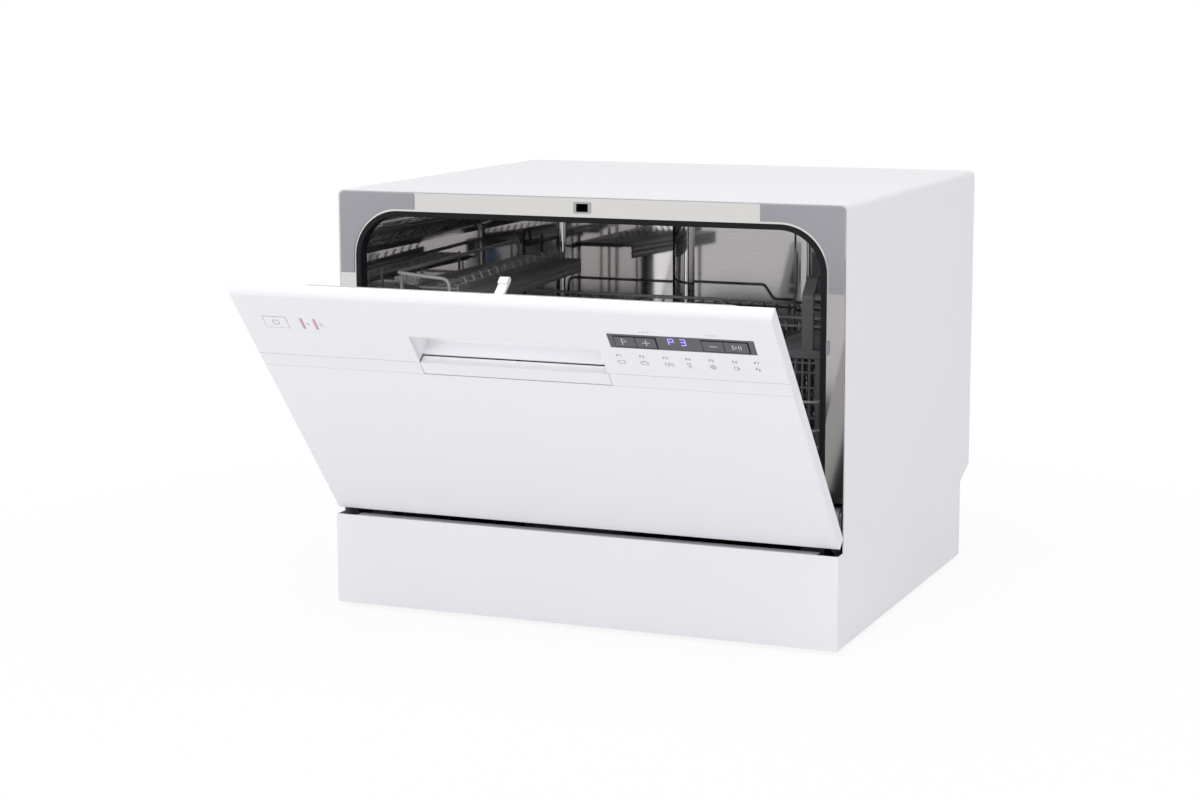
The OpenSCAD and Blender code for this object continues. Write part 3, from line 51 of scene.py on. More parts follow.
class Value:
    """What runs along one link of a shader: a number, a colour or a vector."""

    def __init__(self, shading, socket):
        self.shading, self.socket = shading, socket

    def math(self, operation, a, b):
        return self.shading.node("ShaderNodeMath", {"operation": operation}, {0: a, 1: b})

    def __add__(self, other): return self.math("ADD", self, other)
    def __radd__(self, other): return self.math("ADD", other, self)
    def __sub__(self, other): return self.math("SUBTRACT", self, other)
    def __rsub__(self, other): return self.math("SUBTRACT", other, self)
    def __mul__(self, other): return self.math("MULTIPLY", self, other)
    def __rmul__(self, other): return self.math("MULTIPLY", other, self)
    def __gt__(self, other): return self.math("GREATER_THAN", self, other)
    def __lt__(self, other): return self.math("LESS_THAN", self, other)


class Shading:
    """The nodes of one material, or of the room's light."""

    def __init__(self, tree):
        self.tree = tree

    def node(self, kind, settings=None, sockets=None, out=0):
        node = self.tree.nodes.new(kind)
        for key, value in (settings or {}).items():
            setattr(node, key, value)
        for key, value in (sockets or {}).items():
            if isinstance(value, Value):
                self.tree.links.new(value.socket, node.inputs[key])
            else:
                node.inputs[key].default_value = value
        return Value(self, node.outputs[out]) if node.outputs else None


class Finish(Shading):
    """One surface finish: a material whose varying sockets are fed by expressions."""

    def __init__(self, name, colour, rough, metal=0.0, **fixed):
        self.material = bpy.data.materials.new(name)
        self.material.use_nodes = True
        super().__init__(self.material.node_tree)
        self.shader = self.tree.nodes["Principled BSDF"]
        self.set("Base Color", (*colour, 1.0))
        self.set("Roughness", rough)
        self.set("Metallic", metal)
        for words, value in fixed.items():
            self.set(words.replace("_", " "), value)

    def set(self, socket, value):
        if isinstance(value, Value):
            self.tree.links.new(value.socket, self.shader.inputs[socket])
        else:
            self.shader.inputs[socket].default_value = value

    def place(self):
        return self.node("ShaderNodeTexCoord", out="Object")

    def noise(self, scale, detail=3.0, stretch=(1, 1, 1)):
        place = self.node("ShaderNodeMapping", {}, {"Vector": self.place(), "Scale": stretch})
        return self.node("ShaderNodeTexNoise", {}, {"Vector": place, "Scale": scale, "Detail": detail})

    def mix(self, factor, a, b):
        return self.node("ShaderNodeMix", {"data_type": "RGBA"},
                         {0: factor, 6: (*a, 1) if isinstance(a, tuple) else a,
                          7: (*b, 1) if isinstance(b, tuple) else b}, out=2)

    def bump(self, height, strength, distance):
        self.set("Normal", self.node("ShaderNodeBump", {}, {
            "Height": height, "Strength": strength, "Distance": distance}))

    def onto(self, *names):
        for name in names:
            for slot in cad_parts[name].material_slots:
                slot.material = self.material


table = bpy.data.meshes.new("table")
table.from_pydata([(-9, -9, 0), (9, -9, 0), (9, 9, 0), (-9, 9, 0)], [], [(0, 1, 2, 3)])
table = bpy.data.objects.new("table", table)
scene.collection.objects.link(table)
table_top = Finish("table_top", (0.95, 0.95, 0.95), 0.6)
camera_sees = table_top.node("ShaderNodeLightPath", out="Is Camera Ray")
backing = table_top.node("ShaderNodeEmission", {}, {"Color": (1, 1, 1, 1), "Strength": 1.0})
mirror_sees = table_top.node("ShaderNodeLightPath", out="Is Glossy Ray")
glass_sees = table_top.node("ShaderNodeLightPath", out="Is Transmission Ray")
far = table_top.node("ShaderNodeVectorMath", {"operation": "LENGTH"}, {0: table_top.place()}, out="Value")
whiteness = table_top.node("ShaderNodeMapRange", {"interpolation_type": "SMOOTHSTEP"}, {
    "Value": far, "From Min": 0.35, "From Max": 1.1, "To Min": 0.9, "To Max": 1.0})
shade_mix = table_top.node("ShaderNodeMixShader", {}, {
    0: (camera_sees + mirror_sees + glass_sees) * whiteness,
    1: Value(table_top, table_top.shader.outputs[0]), 2: backing})
table_top.tree.links.new(shade_mix.socket, table_top.tree.nodes["Material Output"].inputs["Surface"])
table.data.materials.append(table_top.material)

room = bpy.data.worlds.new("room")
scene.world = room
room.use_nodes = True
room.node_tree.nodes.clear()
air = Shading(room.node_tree)
seen = air.node("ShaderNodeBackground", {}, {"Color": (1, 1, 1, 1), "Strength": 1.0})
fill = air.node("ShaderNodeBackground", {}, {"Color": (0.97, 0.97, 1.0, 1), "Strength": 0.62})
either = (air.node("ShaderNodeLightPath", out="Is Camera Ray")
          + air.node("ShaderNodeLightPath", out="Is Transmission Ray")
          + air.node("ShaderNodeLightPath", out="Is Glossy Ray"))
choose = air.node("ShaderNodeMixShader", {}, {0: either, 1: fill, 2: seen})
air.node("ShaderNodeOutputWorld", {}, {"Surface": choose})

for name, at, to, size, power in (
        ("overhead_bank", (0.2, -0.6, 2.6), (0, 0.05, 0.3), 2.4, 22.5),
        ("front_bank", (-0.6, -2.9, 1.0), (0, 0, 0.25), 2.0, 25.5),
        ("right_bank", (2.8, -0.6, 1.2), (0, 0, 0.2), 1.8, 8.5)):
    lamp = bpy.data.lights.new(name, "AREA")
    lamp.shape, lamp.size, lamp.energy = "SQUARE", size, power
    lamp = bpy.data.objects.new(name, lamp)
    scene.collection.objects.link(lamp)
    lamp.location = at
    lamp.visible_glossy = False
    lamp.rotation_euler = (Vector(to) - Vector(at)).to_track_quat("-Z", "Y").to_euler()

azimuth, elevation, roll = map(math.radians, (22.79, 9.37, -0.20))
back = Vector((math.sin(azimuth) * math.cos(elevation), -math.cos(azimuth) * math.cos(elevation),
               math.sin(elevation)))
right = Vector((math.cos(azimuth), math.sin(azimuth), 0))
above = back.cross(right)
right, above = (right * math.cos(roll) + above * math.sin(roll),
                above * math.cos(roll) - right * math.sin(roll))
camera = bpy.data.objects.new("camera", bpy.data.cameras.new("camera"))
scene.collection.objects.link(camera)
camera.data.sensor_width, camera.data.lens = 36.0, 74.68
mm, front_y = 0.001, -147.856           # front_y is the kick panel's front, in the frame's own y
aim, distance = Vector((-79.4, 250 + front_y, 192.8)) * mm, 2.7555
place = aim + back * distance
camera.matrix_world = Matrix.Translation(place) @ Matrix((right, above, back)).transposed().to_4x4()
scene.camera = camera

# ---- Casing, kick panel and door skin ----
# Steel sheet, 1 mm thick, bent and hemmed, then coated with white powder that cures to a satin
# skin with a very fine orange peel.
paint = Finish("white_powder_coat", (0.80, 0.80, 0.825), 0.38, Coat_Weight=0.15)
paint.set("Base Color", paint.mix(paint.noise(6, 2), (0.790, 0.790, 0.818), (0.810, 0.810, 0.832)))
paint.set("Roughness", 0.34 + paint.noise(45, 3) * 0.10)
paint.bump(paint.noise(900, 2), 0.10, 0.00015)
paint.onto("casing_wrap", "kick_panel", "door_panel")

# ---- Rear cover and hinge brackets ----
# Zinc-plated steel, left bare where nobody looks: dull, with the soft cloud pattern of the plating.
# The cover is screwed on, and the hinges' arms turn in the brackets.
zinc = Finish("zinc_plate", (0.50, 0.51, 0.53), 0.42, metal=0.85)
cloud = zinc.noise(38, 5)
zinc.set("Base Color", zinc.mix(cloud, (0.42, 0.43, 0.45), (0.60, 0.61, 0.63)))
zinc.set("Roughness", 0.32 + cloud * 0.25)
zinc.onto("rear_cover", "hinge_brackets", "hinge_arms")

# ---- Base tray, catch box, feet and seal ----
# The tray and the latch's catch box are moulded in dark grey polypropylene. Four feet of black rubber
# push into the tray; the door's seal and the cord's gland are black rubber too.
tray = Finish("tray_plastic", (0.05, 0.052, 0.056), 0.55)
tray.bump(tray.noise(700, 3), 0.25, 0.0002)
tray.set("Roughness", 0.48 + tray.noise(60, 2) * 0.16)
tray.onto("base_tray", "latch_catch")
rubber = Finish("black_rubber", (0.012, 0.012, 0.014), 0.75, Specular_IOR_Level=0.25)
rubber.set("Roughness", 0.62 + rubber.noise(120, 3) * 0.25)
rubber.bump(rubber.noise(1500, 2), 0.2, 0.0001)
rubber.onto("feet", "door_seal", "cord_gland")

# ---- Tub, its front frame and the door's liner ----
# Stainless sheet, pressed and welded. Rolling leaves the tub nearly a mirror, with faint streaks along
# the sheet, and the frame round the mouth is like it. The door's liner is duller, with finer lines.
tub_steel = Finish("tub_stainless", (0.66, 0.65, 0.645), 0.1, metal=1.0)
streak = tub_steel.noise(55, 4, (1, 1, 14))
tub_steel.set("Base Color", tub_steel.mix(streak, (0.60, 0.588, 0.582), (0.72, 0.708, 0.70)))
tub_steel.set("Roughness", 0.02 + streak * 0.06)
tub_steel.bump(tub_steel.noise(7, 1), 0.08, 0.002)
tub_steel.onto("tub_wrap", "tub_back", "tub_floor", "filter_plate")
frame_steel = Finish("frame_stainless", (0.69, 0.675, 0.66), 0.08, metal=1.0)
grain = frame_steel.noise(80, 3, (1, 1, 20))
frame_steel.set("Base Color", frame_steel.mix(grain, (0.66, 0.648, 0.635), (0.72, 0.705, 0.69)))
frame_steel.set("Roughness", 0.05 + grain * 0.06)
frame_steel.onto("front_frame")
liner_steel = Finish("liner_stainless", (0.62, 0.61, 0.615), 0.2, metal=1.0)
brushed = liner_steel.noise(90, 3, (1, 16, 16))
liner_steel.set("Base Color", liner_steel.mix(brushed, (0.57, 0.56, 0.567), (0.67, 0.66, 0.665)))
liner_steel.set("Roughness", 0.15 + brushed * 0.10)
liner_steel.onto("door_liner")

# ---- Corner pads, clip and strike plate ----
# Two pads of grey plastic cover the upper corners of the front frame, and a small clip sits lower down
# on the right. The slot that takes the latch's hook has a plate of chromed steel round it.
pad = Finish("grey_pad", (0.335, 0.338, 0.365), 0.45)
pad.set("Roughness", 0.34 + pad.noise(200, 3) * 0.15)
pad.onto("frame_pads")
chrome = Finish("strike_chrome", (0.42, 0.42, 0.43), 0.25, metal=1.0)
chrome.set("Roughness", 0.20 + chrome.noise(300, 2) * 0.12)
chrome.onto("strike_plate")

# ---- Pumps, valve, softener and spray parts ----
# Moulded polypropylene in the usual greys, with blue caps on the salt jar and the rinse aid. The buffers
# that the hinges' arms come to rest on are grey-green rubber, and the door's springs are bare steel.
grey_pp = Finish("grey_polypropylene", (0.13, 0.135, 0.145), 0.5)
grey_pp.set("Roughness", 0.42 + grey_pp.noise(90, 3) * 0.2)
grey_pp.bump(grey_pp.noise(800, 2), 0.2, 0.0002)
grey_pp.onto("sump", "wash_pump", "drain_pump", "spray_arm")
dark_pp = Finish("dark_polypropylene", (0.055, 0.058, 0.065), 0.48)
dark_pp.set("Roughness", 0.40 + dark_pp.noise(90, 3) * 0.2)
dark_pp.bump(dark_pp.noise(900, 2), 0.2, 0.0002)
dark_pp.onto("spray_hub", "filter_cup", "detergent_lid", "latch_link", "rack_rollers_front",
             "rack_rollers_rear")
pale_pp = Finish("pale_polypropylene", (0.62, 0.63, 0.64), 0.45)
pale_pp.set("Roughness", 0.38 + pale_pp.noise(90, 3) * 0.18)
pale_pp.onto("water_softener", "inlet_valve", "air_break", "float", "dispenser_body", "latch_housing")
blue_pp = Finish("blue_polypropylene", (0.05, 0.10, 0.24), 0.42)
blue_pp.set("Roughness", 0.36 + blue_pp.noise(90, 3) * 0.18)
blue_pp.onto("salt_cap", "rinse_cap")
stop_rubber = Finish("green_rubber", (0.52, 0.60, 0.59), 0.6)
stop_rubber.set("Roughness", 0.5 + stop_rubber.noise(150, 3) * 0.2)
stop_rubber.onto("hinge_stops")
spring = Finish("spring_steel", (0.42, 0.43, 0.45), 0.3, metal=1.0)
spring.set("Roughness", 0.24 + spring.noise(300, 2) * 0.16)
spring.onto("hinge_spring_left", "hinge_spring_right")

# ---- Control panel and grip ----
# White ABS with a fine spark texture, moulded in one with the grip pocket. What lies behind the door's
# face, as the pocket and the hook do, is painted a paler white: painted light against the pocket's shade.
# Window and keys are smoke-grey acrylic.
white, painted_light_white = (0.79, 0.79, 0.815), (0.96, 0.955, 0.975)
panel_half = 0.2735
abs_white = Finish("white_abs", white, 0.32)
lean, hinge_y, hinge_z = math.radians(40), 10, 114      # the open door, and the line it turns on
# Painted light: the paler white is mixed in by depth behind the door's face, within the panel's width.
inward = abs_white.node("ShaderNodeVectorMath", {"operation": "DOT_PRODUCT"},
                        {0: abs_white.place(), 1: (0, math.cos(lean), math.sin(lean))}, out="Value")
face = ((front_y + hinge_y) * math.cos(lean) + hinge_z * math.sin(lean) - hinge_y) * mm
pocket_painted_light = abs_white.node("ShaderNodeMapRange", {"interpolation_type": "SMOOTHSTEP"}, {
    "Value": inward - face, "From Min": 0.0015, "From Max": 0.011, "To Min": 0.0, "To Max": 1.0})
across = abs_white.node("ShaderNodeSeparateXYZ", {}, {0: abs_white.place()}, out="X")
pocket_painted_light = pocket_painted_light * (across * across < panel_half ** 2)
abs_white.set("Base Color", abs_white.mix(pocket_painted_light, white, painted_light_white))
abs_white.set("Roughness", 0.30 + abs_white.noise(70, 3) * 0.10)
abs_white.bump(abs_white.noise(1400, 2), 0.12, 0.0001)
abs_white.onto("control_panel", "handle_bar", "power_button", "latch_hook")
window = Finish("window_acrylic", (0.075, 0.072, 0.085), 0.22, Coat_Weight=0.3)
window.set("Roughness", 0.20 + window.noise(120, 2) * 0.08)
window.onto("control_window", "program_button", "plus_button", "minus_button", "start_button")
red_light = Finish("red_light_bar", (0.56, 0.33, 0.42), 0.3)
red_light.set("Roughness", 0.26 + red_light.noise(200, 2) * 0.1)
red_light.onto("indicator_bars")
board = Finish("circuit_board", (0.03, 0.13, 0.05), 0.4)
board.set("Roughness", 0.3 + board.noise(200, 2) * 0.2)
board.onto("control_board")

# ---- Rack ----
# Steel wire, bent, spot welded where it crosses, and dipped in light grey nylon, which rounds every
# weld. The rims are thicker wire. The floor wires turn up at front and rear as uprights; the rear ones
# lean back to the tub's wall, under a rim that steps down on the right.
nylon = Finish("grey_nylon", (0.46, 0.455, 0.47), 0.36)
nylon.set("Roughness", 0.32 + nylon.noise(150, 3) * 0.14)
nylon.onto("rack_floor_grid", "rack_front", "rack_back", "rack_left", "rack_right", "rack_tines")


def bend(corners, radius, closed=False):
    """The path of a wire through its corners, with every bend rounded."""
    corners = [Vector(c) for c in corners]
    path = []
    for i, corner in enumerate(corners):
        if not closed and i in (0, len(corners) - 1):
            path.append(corner)
            continue
        before, after = corners[i - 1] - corner, corners[(i + 1) % len(corners)] - corner
        half = before.angle(after) / 2
        reach = min(radius / math.tan(half), before.length / 2, after.length / 2)
        start, end = corner + before.normalized() * reach, corner + after.normalized() * reach
        for k in range(7):
            t = k / 6
            path.append(start * (1 - t) ** 2 + corner * 2 * t * (1 - t) + end * t ** 2)
    return path


def tubes(name, wires, finish, body, sides=10):
    """One mesh of round wires; each is (path, diameter, closed), in millimetres from the front."""
    bm = bmesh.new()
    for path, diameter, closed in wires:
        count, rings = len(path), []
        side = None
        for i, point in enumerate(path):
            ahead = path[(i + 1) % count] if closed or i < count - 1 else point
            behind = path[i - 1] if closed or i else point
            along = (ahead - behind).normalized()
            side = (side - along * side.dot(along)).normalized() if side else along.orthogonal().normalized()
            other = along.cross(side)
            rings.append([bm.verts.new((point + (side * math.cos(a) + other * math.sin(a)) * diameter / 2
                                        + Vector((0, front_y, 0))) * mm)
                          for a in (2 * math.pi * k / sides for k in range(sides))])
        for i in range(count if closed else count - 1):
            one, two = rings[i], rings[(i + 1) % count]
            for k in range(sides):
                bm.faces.new((one[k], one[(k + 1) % sides], two[(k + 1) % sides], two[k]))
        if not closed:
            bm.faces.new(rings[0][::-1])
            bm.faces.new(rings[-1])
    return settle(name, bm, finish, body)


def settle(name, bm, finish, body, smooth=True):
    """Turns a worked mesh into a piece with its finish, and lets it ride on its body, if it has one."""
    bmesh.ops.recalc_face_normals(bm, faces=bm.faces)
    mesh = bpy.data.meshes.new(name)
    bm.to_mesh(mesh)
    bm.free()
    mesh.materials.append(finish.material)
    if smooth:
        mesh.shade_smooth()
        mesh.set_sharp_from_angle(angle=math.radians(40))
    piece = bpy.data.objects.new(name, mesh)
    scene.collection.objects.link(piece)
    if body:
        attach(piece, body)
    return piece


x_wall, y_front, y_rear = 233.15, 63.85, 373.15
z_floor, z_rim = 173.39, 344.15
wire, rim_wire, rear_rim_wire, carrier_wire = 3, 4, 3.4, 4.8
levels = [z_floor + lift for lift in (0, 9, 18, 35, 64)]
bays = [-x_wall + k * 2 * x_wall / 9 for k in range(1, 9)]
roller_rows, z_roller = (110, 330), 166.3
post_y, upright_pitch = 75.85, 47.55
y_lean, z_lean = 360, 272               # where the rear wall leans to, and its uprights end
z_high, z_low, z_level = 297, 280.5, 271.3
ring = [(bend([(-x_wall, y_front, z), (x_wall, y_front, z), (x_wall, y_rear, z), (-x_wall, y_rear, z)],
              12, closed=True), wire, True) for z in levels]
long_wires = [(bend([(x, y_front + 2.5, levels[4] + 1), (x, y_front + 2.5, z_floor + 2.5),
                     (x, y_rear - 2.5, z_floor + 2.5), (x, y_rear - 2.5, levels[4]),
                     (x, y_lean - 2, z_lean)], 7), wire, False) for x in bays]
cross_wires = [(bend([(-x, y, z_floor), (x, y, z_floor)], 1), wire, False)
               for x, y in zip((218.5, x_wall, x_wall, x_wall, 218.5), (110, 165, 220, 275, 330))]
carriers = [(bend([(s * 218, y, z_floor + 2), (s * 218, y, z_roller), (s * 233, y, z_roller)], 5),
             carrier_wire, False) for s in (-1, 1) for y in roller_rows]
floor = tubes("rack_floor_wires", ring[:1] + long_wires + cross_wires + carriers, nylon, "rack")
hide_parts("rack_floor_grid")
walls = tubes("rack_wall_rings", ring[1:], nylon, "rack")
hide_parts("rack_front")
upright_rows = [(post_y + upright_pitch * k, z_rim if k % 2 else levels[4] + 3) for k in range(1, 6)]
uprights = [(bend([(s * 230.6, y, z_floor + 3), (s * 230.6, y, top)], 1), wire, False)
            for s in (-1, 1) for y, top in upright_rows]
left_rim = bend([(-171.15, y_front, z_floor + 7), (-171.15, y_front, z_rim - 1),
                 (-x_wall, y_front, z_rim + 4), (-x_wall, y_rear, z_rim + 10),
                 (-x_wall, y_rear, levels[4])], 9)
axle_x, axle_z, axle_front, axle_rear = -225, 334, 87, 353
shelf_axle = bend([(-x_wall, axle_front, z_rim), (-x_wall, axle_front, axle_z),
                   (axle_x, axle_front, axle_z), (axle_x, axle_rear, axle_z),
                   (-x_wall, axle_rear, axle_z), (-x_wall, axle_rear, z_rim + 9)], 3)
left_post = bend([(-x_wall, post_y, z_floor + 4), (-x_wall, post_y, z_rim)], 1)
left = tubes("rack_left_wires", uprights[:5] + [(left_post, rim_wire, False), (left_rim, rim_wire, False),
                                                (shelf_axle, wire, False)], nylon, "rack")
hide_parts("rack_left")
right_rim = bend([(x_wall, post_y, z_floor + 4), (x_wall, post_y, z_rim), (x_wall, y_rear, z_rim),
                  (x_wall, y_rear, levels[4])], 9)
right_wires = tubes("rack_right_wires", uprights[5:] + [(right_rim, rim_wire, False)], nylon, "rack")
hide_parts("rack_right")
rear_rim = bend([(-224, y_rear, levels[4]), (-224, y_lean, z_high), (22, y_lean, z_high),
                 (34, y_lean, z_low), (224, y_lean, z_low), (224, y_rear, levels[4])], 6)
level_wire = bend([(-231, y_lean, z_level), (231, y_lean, z_level)], 1)
stubs = [([Vector((-210.2 + 15.5 * k, y_lean + 0.5, 266)), Vector((-210.2 + 15.5 * k, y_lean, 275))],
          wire, False) for k in range(28)]
rear_wires = tubes("rack_rear_wires", [(rear_rim, rear_rim_wire, False), (level_wire, wire, False)] + stubs,
                   nylon, "rack")
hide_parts("rack_back")
z_tine, rows_of_tines = z_floor + 5.27, (122, 210, 298)
tine_rows = [(bend([(-150, y, z_tine), (130, y, z_tine)], 1), wire, False) for y in rows_of_tines]
tines = [(bend([(x, y, z_tine), (x, y + 8, z_tine + 62 - 6 * row)], 1), wire, False)
         for row, y in enumerate(rows_of_tines) for x in range(-144, 129, 24)]
tine_wires = tubes("rack_tine_wires", tine_rows + tines, nylon, "rack")
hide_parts("rack_tines")

# ---- Cup shelf ----
# Moulded in grey polypropylene, and folds up on a wire of the rack: a slotted plate, a tube round the
# wire, ribs below, a rail with a comb that holds glasses by their stems, and beyond the comb a ribbed
# strip with a hanging edge.
ware_pp = Finish("ware_grey_polypropylene", (0.135, 0.135, 0.143), 0.42)
ware_pp.set("Base Color", ware_pp.mix(ware_pp.noise(25, 3), (0.134, 0.134, 0.142), (0.158, 0.158, 0.167)))
ware_pp.set("Roughness", 0.36 + ware_pp.noise(110, 3) * 0.16)
ware_pp.bump(ware_pp.noise(900, 2), 0.15, 0.0001)
ware_pp.onto("cup_shelf", "cutlery_basket")
# Painted light: the shelf's pieces take a copy of the same grey polypropylene made much lighter, against the
# shade inside the tub.
shelf_pp_painted_light = Finish("shelf_grey_polypropylene_painted_light", (0.35, 0.345, 0.36), 0.40)
shelf_pp_painted_light.set("Base Color", shelf_pp_painted_light.mix(shelf_pp_painted_light.noise(25, 3), (0.33, 0.325, 0.34), (0.38, 0.375, 0.39)))
shelf_pp_painted_light.set("Roughness", 0.34 + shelf_pp_painted_light.noise(110, 3) * 0.16)
shelf_pp_painted_light.bump(shelf_pp_painted_light.noise(900, 2), 0.15, 0.0001)


def moulding(name, sheets, finish, body, wall, edge=0.5):
    """A thin moulding: each sheet is (place, us, vs, is_open), a grid of which some cells are left open."""
    bm = bmesh.new()
    for place, us, vs, is_open in sheets:
        rows = [[bm.verts.new((Vector(place(u, v)) + Vector((0, front_y, 0))) * mm) for v in vs] for u in us]
        for i in range(len(us) - 1):
            for j in range(len(vs) - 1):
                if not is_open(i, j):
                    bm.faces.new((rows[i][j], rows[i + 1][j], rows[i + 1][j + 1], rows[i][j + 1]))
    bmesh.ops.remove_doubles(bm, verts=bm.verts, dist=1e-6)
    bmesh.ops.delete(bm, geom=[v for v in bm.verts if not v.link_faces], context="VERTS")
    piece = settle(name, bm, finish, body)
    thick = piece.modifiers.new("wall", "SOLIDIFY")
    thick.thickness, thick.offset = wall * mm, 0
    soft = piece.modifiers.new("edges", "BEVEL")
    soft.width, soft.segments, soft.harden_normals = edge * mm, 2, True
    return piece


def bars(start, end, bar, gap):
    """Breaks between start and end: bars and gaps in turn, with a bar of what is left at each end."""
    count = int((end - start - bar) // (bar + gap))
    first = start + (end - start - count * (bar + gap) + bar) / 2
    breaks = [start]
    for k in range(count):
        breaks += [first + k * (bar + gap), first + k * (bar + gap) + gap]
    return breaks + [end]


def odd_cells(i, j):
    return i % 2 == 1 and j % 2 == 1


def no_cells(i, j):
    return False


def leaning(x, y, z):
    """A place on the shelf, which rises a little to the rear."""
    return (x, y, z + (y - 220) * 0.031)


def wavy(step):
    """How far a ribbed face stands out at one of its lines: every other line is a rib."""
    return 1.2 if step % 2 else 0


def tooth(u, v, y):
    """A comb's tooth at y narrows upwards and its tip curls away from the plate's edge."""
    return leaning(comb_x - 0.09 * max(0, v - 341) ** 2, y + u * (1 - 0.05 * (v - 336)), v)


plate_front, plate_rear, shelf_wall = 93, 347, 2.2
comb_x = -166.2
shelf_runs = [73, 160, 264, 351]
notches = [shelf_runs[0]] + [at + step for at in range(92, 346, 20) for step in (0, 5)] + [shelf_runs[-1]]
plate_sheet = (lambda u, v: leaning(u, v, axle_z), bars(-222, -167, 4, 15),
               bars(plate_front, plate_rear, 5, 12), odd_cells)
strip_sheet = (lambda u, v: leaning(v, u, 333 - wavy(v)), shelf_runs, range(-166, -142, 3), no_cells)
edge_sheet = (lambda u, v: leaning(-146.2 + wavy(v), u, v), shelf_runs, range(318, 334, 3), no_cells)
rail_sheet = (lambda u, v: leaning(comb_x, u, v), notches, [333, 335.5, 340.5],
              lambda i, j: i % 2 == 1 and j == 1)
rib_sheets = [(lambda u, v, y=y: leaning(u, y, v), [-223, -167], [328.5, 333], no_cells)
              for y in range(112, 330, 54)]
shelf = moulding("cup_shelf_plate", [plate_sheet, strip_sheet, edge_sheet, rail_sheet] + rib_sheets,
                 shelf_pp_painted_light, "cup_shelf", shelf_wall)
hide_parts("cup_shelf")
tooth_sheets = [(lambda u, v, y=y: tooth(u, v, y), [-2.1, 2.1], [335, 339, 342, 344.5, 347], no_cells)
                for y in range(94, 348, 20)]
moulding("cup_shelf_comb", tooth_sheets, shelf_pp_painted_light, "cup_shelf", shelf_wall, 0.7)
tubes("cup_shelf_hinge", [([Vector((axle_x, y, axle_z)) for y in (plate_front, plate_rear)], 6.4, False)],
      shelf_pp_painted_light, "cup_shelf", 16)

# ---- Tub's rear wall ----
# The same stainless sheet, pressed: a flat field set back between two upright beads, and a narrow
# ridge near the left corner, all to stiffen it. It is welded into the tub all round.
wall_half, wall_high, wall_round, wall_y = 256.6, 419.2, 49.6, 430.5
ridge = [(-209, 0), (-206.5, -2.6), (-204, -3.4), (-201.5, -2.6), (-199, 0)]
left_bead = [(-62.5, 0), (-61, -1.2), (-59, -3.2), (-57.5, -4), (-43, -4), (-42, -3), (-39, 4.4), (-38, 5.4)]
right_bead = [(84, 5.4), (85, 4.4), (88, -3), (89, -4), (101, -4), (102.5, -3.2), (104.5, -1.2), (106, 0)]
steps = [(-300, 0)] + ridge + left_bead + right_bead + [(300, 0)]
press_low, press_high, press_fade = 174, 401, 8


def press(x, z):
    """How far the sheet is pushed back at a place; it fades out above the floor and below the top."""
    x = max(-299, min(299, x))
    (x0, d0), (x1, d1) = next((a, b) for a, b in zip(steps, steps[1:]) if a[0] <= x <= b[0])
    fade = max(0, min(1, (z - press_low) / press_fade, (press_high - z) / press_fade))
    return (d0 + (d1 - d0) * (x - x0) / (x1 - x0)) * fade


def wall_at(x, z):
    """A place on the sheet, kept inside the rounded upper corners."""
    fall = max(0, z - wall_high + wall_round)
    half = wall_half - wall_round + math.sqrt(max(0, wall_round ** 2 - fall ** 2))
    x = max(-half, min(half, x))
    return (x, wall_y + press(x, z), z)


columns = sorted([x for x, depth in steps[1:-1]] + [-170, -130, -95, -2, 40, 145]
                 + [s * w for s in (-1, 1) for w in (wall_half, 252, 244, 232, 220)])
rows_up = [140, 160, press_low, 176, 179, 182, 220, 270, 320, 360, 370, 380, 388, 393, 397, press_high,
           405, 410, 414, 417, wall_high]
rear_wall = moulding("tub_rear_wall", [(wall_at, columns, rows_up, no_cells)], tub_steel, "cabinet", 1, 0.3)
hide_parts("tub_back")

# ---- Latch hook ----
# A white moulded hook that turns on a pin at the top of the door. Its rounded nose goes through the
# frame's slot into the catch box, and its barb holds it there.
hook_side = [(4.2, -2.0), (30, -2.0), (41.5, -2.3), (44.6, -1.6), (45.8, 0.2), (45.6, 2.2), (44.2, 3.7),
             (41.8, 4.3), (36.6, 3.9), (36.0, 2.7), (37.6, 1.9), (36, 1.5), (20, 1.7), (4.2, 2.2)]
hook_z, hook_half = 426, 4.8


def on_door(x, y, z):
    """A place on the shut door, in millimetres, turned to where the open door holds it."""
    y, z = y - hinge_y, z - hinge_z
    return Vector((x, hinge_y + y * math.cos(lean) - z * math.sin(lean) + front_y,
                   hinge_z + y * math.sin(lean) + z * math.cos(lean))) * mm


bm = bmesh.new()
flanks = [[bm.verts.new(on_door(x, y, hook_z + z)) for y, z in hook_side] for x in (-hook_half, hook_half)]
for k in range(len(hook_side)):
    n = (k + 1) % len(hook_side)
    bm.faces.new((flanks[0][k], flanks[0][n], flanks[1][n], flanks[1][k]))
for flank in flanks:
    bm.faces.new(flank)
nose = settle("latch_hook_nose", bm, abs_white, "latch_hook")
soft = nose.modifiers.new("edges", "BEVEL")
soft.width, soft.segments, soft.limit_method, soft.harden_normals = 0.7 * mm, 3, "ANGLE", True
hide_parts("latch_hook")

# ---- Cutlery basket ----
# Moulded in the same grey: lattice walls under a plain band, parted in three, a ribbed grid on top that
# keeps knives and forks apart, and a carrying arch. It stands on the rack's wires with two ribs.
bx0, bx1, by0, by1, bz0, bz1 = 157.0, 225.0, 96.0, 237.0, 181.8, 284.6


